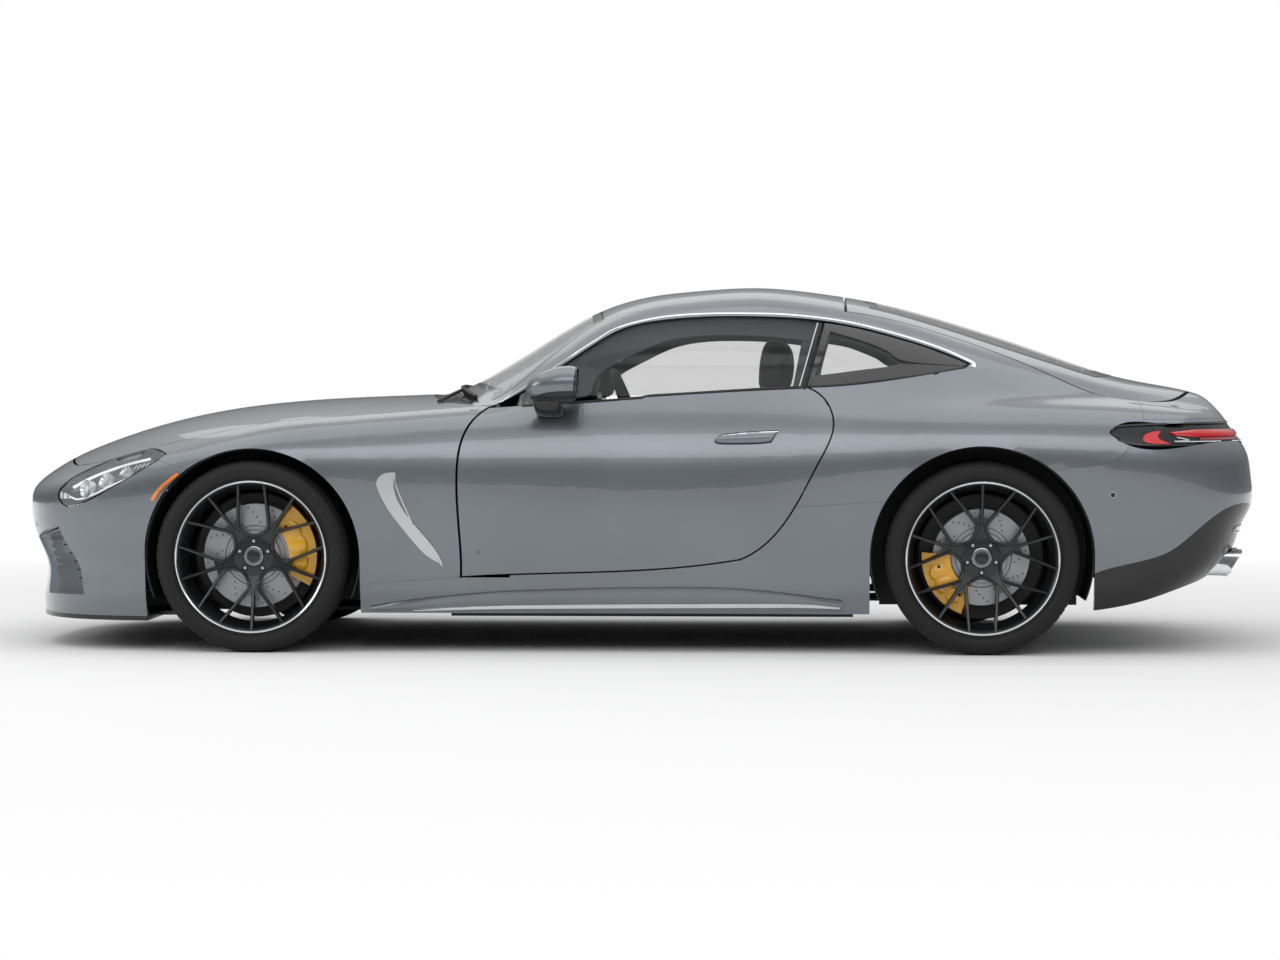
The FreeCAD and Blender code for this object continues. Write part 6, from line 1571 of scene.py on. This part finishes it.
    def wipers(self):
        """Two blades parked along the windscreen's foot, on bent arms."""
        screen = from_top("windshield", "cowl", "hood")
        parts = Shape()
        for start, length in WIPER_RUNS:
            blade = []
            normals = []
            for k in range(15):
                y = start + length * k / 14
                place, normal = screen(-0.692 + 0.10 * (abs(y) / 0.6) ** 2, y)
                blade.append(place + normal * 0.010)
                normals.append(normal)
            parts.join(swept(blade, normals, WIPER_BLADE))
            foot, _ = screen(-0.735, start + 0.06)
            middle = blade[6]
            arm = [foot + UP * 0.004, foot + Vector((0.012, 0.04, 0.012)), (foot + middle) / 2 + UP * 0.006,
                   middle + UP * 0.006]
            path = smooth_path(arm, 6)
            parts.join(swept(path, [UP] * len(path), WIPER_ARM))
            knob = lathe(WIPER_KNOB, 24, closed=False).turned(90, "X")
            parts.join(knob.moved(Matrix.Translation(foot)))
        piece("wipers", parts, grained_black(), smooth_deg=40)


# A seat's forms as (x, z, half width across, half thickness) places
CUSHION = [(-0.055, 0.405, 0.120, 0.010), (-0.045, 0.405, 0.140, 0.036), (0.060, 0.412, 0.150, 0.044),
           (0.220, 0.395, 0.150, 0.044), (0.370, 0.380, 0.140, 0.038), (0.390, 0.380, 0.120, 0.012)]
BACKREST = [(0.365, 0.400, 0.100, 0.012), (0.372, 0.425, 0.135, 0.040), (0.405, 0.560, 0.150, 0.050),
            (0.450, 0.720, 0.155, 0.050), (0.495, 0.860, 0.140, 0.046), (0.520, 0.950, 0.105, 0.040),
            (0.525, 0.965, 0.080, 0.012)]
HEADREST = [(0.525, 0.955, 0.055, 0.012), (0.530, 0.975, 0.100, 0.055), (0.540, 1.030, 0.128, 0.066),
            (0.545, 1.085, 0.126, 0.066), (0.545, 1.130, 0.106, 0.056), (0.548, 1.156, 0.074, 0.038),
            (0.550, 1.164, 0.030, 0.010)]
THIGH_ROLL = [(-0.030, 0.415, 0.020, 0.014), (-0.020, 0.420, 0.034, 0.046), (0.120, 0.430, 0.040, 0.056),
              (0.280, 0.425, 0.040, 0.056), (0.370, 0.415, 0.034, 0.046), (0.385, 0.412, 0.016, 0.014)]
SIDE_ROLL = [(0.350, 0.470, 0.018, 0.014), (0.352, 0.490, 0.034, 0.046), (0.375, 0.600, 0.042, 0.060),
             (0.415, 0.730, 0.040, 0.056), (0.465, 0.850, 0.032, 0.042), (0.480, 0.880, 0.016, 0.014)]
BACK_SHELL = [(0.400, 0.330, 0.150, 0.030), (0.430, 0.400, 0.190, 0.040), (0.470, 0.560, 0.200, 0.034),
              (0.520, 0.740, 0.195, 0.032), (0.562, 0.880, 0.165, 0.030), (0.580, 0.960, 0.110, 0.026),
              (0.583, 0.990, 0.060, 0.012)]
PAN_SHELL = [(-0.050, 0.330, 0.150, 0.020), (-0.030, 0.330, 0.196, 0.040), (0.200, 0.325, 0.200, 0.040),
             (0.400, 0.320, 0.190, 0.036), (0.430, 0.320, 0.150, 0.016)]
SEAT_Y = 0.37
ROLL_SHIFT = 0.168
# The dash's hood, the console and its lever, and the door's arm rest, in the same terms
DIAL_HOOD = [(-0.300, 0.965, 0.155, 0.022), (-0.240, 0.990, 0.170, 0.034), (-0.180, 0.998, 0.172, 0.034),
             (-0.145, 0.990, 0.165, 0.026)]
CONSOLE = [(-0.080, 0.500, 0.118, 0.020), (0.000, 0.516, 0.118, 0.024), (0.280, 0.512, 0.118, 0.020),
           (0.300, 0.530, 0.118, 0.036), (0.560, 0.530, 0.118, 0.036), (0.610, 0.520, 0.110, 0.020)]
LEVER = [(0.060, 0.540, 0.020, 0.030), (0.075, 0.565, 0.022, 0.034), (0.100, 0.575, 0.014, 0.020)]
ARM_REST = [(-0.280, 0.640, 0.010, 0.012), (-0.250, 0.645, 0.026, 0.030), (0.000, 0.640, 0.030, 0.034),
            (0.300, 0.650, 0.030, 0.034), (0.420, 0.680, 0.022, 0.026), (0.440, 0.685, 0.008, 0.010)]
VENT_PLACES = (-0.620, -0.165, 0.165, 0.620)
VENT_AT = (-0.130, 0.885)
VENT_RING = [(0.034, -0.010), (0.034, 0.012), (0.040, 0.014), (0.043, 0.008), (0.043, -0.010)]
# A vane's inner and outer end, as the distance out and the levels of its four corners
VENT_VANE = ((0.008, (-0.002, 0.002, 0.001, -0.003)), (0.033, (-0.006, 0.006, 0.004, -0.008)))
WHEEL_AT = (-0.020, -SEAT_Y, 0.885)
WHEEL_TILT_DEG = 68
GRIP_RADIUS = 0.168
# A spoke's stations as (distance out, half width, front level)
WHEEL_SPOKE = ((0.045, 0.030, 0.004), (0.100, 0.016, 0.003), (0.160, 0.020, 0.003))
BOSS = [(0.0, 0.020), (0.030, 0.019), (0.052, 0.012), (0.060, 0.000), (0.056, -0.030), (0.0, -0.034)]
CARD_Y = 0.7815
CARD_TOP = [(-0.520, 0.880), (-0.100, 0.905), (0.300, 0.925), (0.640, 0.945)]
CARD_LOW = [(-0.520, 0.330), (-0.100, 0.340), (0.300, 0.360), (0.520, 0.400)]
SPEAKER = [(0.0, 0.004), (0.050, 0.006), (0.070, 0.008), (0.076, 0.006), (0.078, -0.004)]


def card_face(x, z):
    """A finder for the flat inner face of the right door."""
    return Vector((x, CARD_Y, z)), -ACROSS


class COUPE_OT_cabin(bpy.types.Operator):
    """Upholster the seats and furnish the dash, the console and the doors"""
    bl_idname = "coupe.cabin"
    bl_label = "Cabin"

    def execute(self, context):
        for side, sign in SIDES.items():
            self.seat(side, sign * SEAT_Y)
        self.dash()
        self.console()
        self.hand_wheel()
        self.cards()
        return {"FINISHED"}

    def seat(self, side, y):
        """One sports seat of separate cushions on its shell."""
        for name, places, power in (("cushion", CUSHION, 3.2), ("back", BACKREST, 3.0),
                                    ("headrest", HEADREST, 2.2)):
            made = piece(f"seat_{name}_{side}", soft_form(places, y=y, power=power), leather(), smooth_deg=180,
                         levels=1, replaces=("seats",) if name == "cushion" else ())
        for name, places in (("thigh_roll", THIGH_ROLL), ("side_roll", SIDE_ROLL)):
            for hand, shift in (("outer", ROLL_SHIFT), ("inner", -ROLL_SHIFT)):
                made = piece(f"{name}_{hand}_{side}", soft_form(places, y=y + shift, power=2.3), leather(),
                             smooth_deg=180, levels=1)
        shell = soft_form(BACK_SHELL, y=y, power=3.6).join(soft_form(PAN_SHELL, y=y, power=4.0))
        piece(f"seat_shell_{side}", shell, grained_black(), smooth_deg=60)
        rails = Shape()
        for shift in (-0.150, 0.150):
            rails.join(tin(-0.030, 0.430, y + shift - 0.018, y + shift + 0.018, 0.160, 0.300))
        piece(f"seat_rails_{side}", rails, dark_steel(), bevel_mm=4)

    def dash(self):
        """A hood over the dials, two screens, round vents and a bright line."""
        piece("dial_hood", soft_form(DIAL_HOOD, y=-SEAT_Y, power=3.0), leather(), smooth_deg=60)
        panel = tin(-0.150, -0.140, -0.520, -0.220, 0.860, 0.965)
        panel.join(tin(-0.128, -0.118, -0.105, 0.105, 0.700, 0.935))
        piece("screens", panel, gloss_black(), bevel_mm=3)
        glow = tin(-0.1395, -0.1385, -0.512, -0.228, 0.868, 0.957)
        glow.join(tin(-0.1175, -0.1165, -0.098, 0.098, 0.707, 0.928))
        piece("screen_glass", glow, screen_glass())
        rings = Shape()
        vanes = Shape()
        vane = loft([[(out, y, z) for y, z in zip((0.000, 0.010, 0.011, 0.001), levels)]
                     for out, levels in VENT_VANE])
        for y in VENT_PLACES:
            x, z = VENT_AT
            rings.join(lathe(VENT_RING, 40).turned(90, "Z").shifted(x, y, z))
            vanes.join(ringed(vane, 12, 0, grained_black()).turned(90, "Z").shifted(x, y, z))
        piece("vent_rings", rings, satin_alloy())
        piece("vent_vanes", vanes, grained_black())
        piece("dash_line", tin(-0.124, -0.116, -0.690, 0.690, 0.838, 0.844), satin_alloy(), bevel_mm=1.5)

    def console(self):
        """The padded console with its lever on a gloss panel."""
        piece("console_top", soft_form(CONSOLE, power=6.0), leather(), smooth_deg=50)
        lever = soft_form(LEVER, power=2.2).join(tin(-0.020, 0.250, -0.090, 0.090, 0.530, 0.538))
        piece("console_panel", lever, gloss_black(), smooth_deg=60)

    def hand_wheel(self):
        """The steering wheel's leather grip with thumb rests, its bright spokes and its padded boss."""
        tilt = Matrix.Translation(WHEEL_AT) @ Matrix.Rotation(math.radians(WHEEL_TILT_DEG), 4, "Y")
        rings = []
        for i in range(96):
            turn = 2 * math.pi * i / 96
            thick = 0.0155 + 0.0025 * math.exp(-((math.cos(turn) ** 2) / 0.05))
            out = Vector((math.cos(turn), math.sin(turn), 0))
            ring = []
            for k in range(16):
                roll = 2 * math.pi * k / 16
                reach = GRIP_RADIUS + thick * math.cos(roll)
                ring.append(out * reach + UP * (thick * 1.05 * math.sin(roll)))
            rings.append(ring)
        piece("wheel_grip", loft(rings, path_closed=True).moved(tilt), leather(), "hand_wheel", smooth_deg=60,
              replaces=("steering_wheel",))
        bar = loft([[(x, -half, -0.004), (x, half, -0.004), (x, half, top), (x, -half, top)]
                    for x, half, top in WHEEL_SPOKE])
        bars = Shape()
        for degrees in (90, 270, 0):
            bars.join(bar.turned(degrees, "Z"))
        piece("wheel_spokes", bars.moved(tilt), satin_alloy(), "hand_wheel", bevel_mm=2)
        boss = lathe(BOSS, 48, closed=False).turned(90, "X")
        piece("wheel_boss", boss.moved(tilt), leather(), "hand_wheel", smooth_deg=50)

    def cards(self):
        """Door linings with an arm rest, a bright line and a speaker."""
        card = sheet(card_face, CARD_TOP, CARD_LOW, 0.0, 0.010, rows=8, crown=0.008)
        pair("door_card", card, grained_black(), DOOR, smooth_deg=50)
        rest = soft_form(ARM_REST, y=0.768)
        for made in pair("arm_rest", rest, leather(), DOOR, smooth_deg=60):
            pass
        line = strip(card_face, [(-0.420, 0.760), (0.000, 0.775), (0.450, 0.810)], 0.004, 0.0125)
        pair("card_line", line, satin_alloy(), DOOR)
        cone = lathe(SPEAKER, 48, closed=False).flipped()
        pair("speaker", cone.shifted(-0.380, 0.772, 0.460), satin_alloy(), DOOR)


class COUPE_PT_panel(bpy.types.Panel):
    """The coupe's pieces"""
    bl_label = "Coupe"
    bl_idname = "COUPE_PT_panel"
    bl_space_type = "VIEW_3D"
    bl_region_type = "UI"
    bl_category = "Coupe"

    def draw(self, context):
        column = self.layout.column()
        for group in (context.scene.coupe_sizes, context.scene.coupe_finish):
            for name in group.bl_rna.properties.keys():
                if name not in ("rna_type", "name"):
                    column.prop(group, name)
        for maker in MAKERS:
            column.operator(maker.bl_idname)


MAKERS = (COUPE_OT_stage, COUPE_OT_panels, COUPE_OT_tyres, COUPE_OT_wheels, COUPE_OT_brakes, COUPE_OT_strips,
          COUPE_OT_lamps, COUPE_OT_trim, COUPE_OT_cabin)
CLASSES = (CoupeSizes, CoupeFinish) + MAKERS + (COUPE_PT_panel,)


def register():
    for one in CLASSES:
        bpy.utils.register_class(one)
    bpy.types.Scene.coupe_sizes = PointerProperty(type=CoupeSizes)
    bpy.types.Scene.coupe_finish = PointerProperty(type=CoupeFinish)


def unregister():
    del bpy.types.Scene.coupe_finish
    del bpy.types.Scene.coupe_sizes
    for one in reversed(CLASSES):
        bpy.utils.unregister_class(one)


def main():
    register()
    for maker in MAKERS:
        group, name = maker.bl_idname.split(".")
        getattr(getattr(bpy.ops, group), name)()


if __name__ == "__main__":
    main()
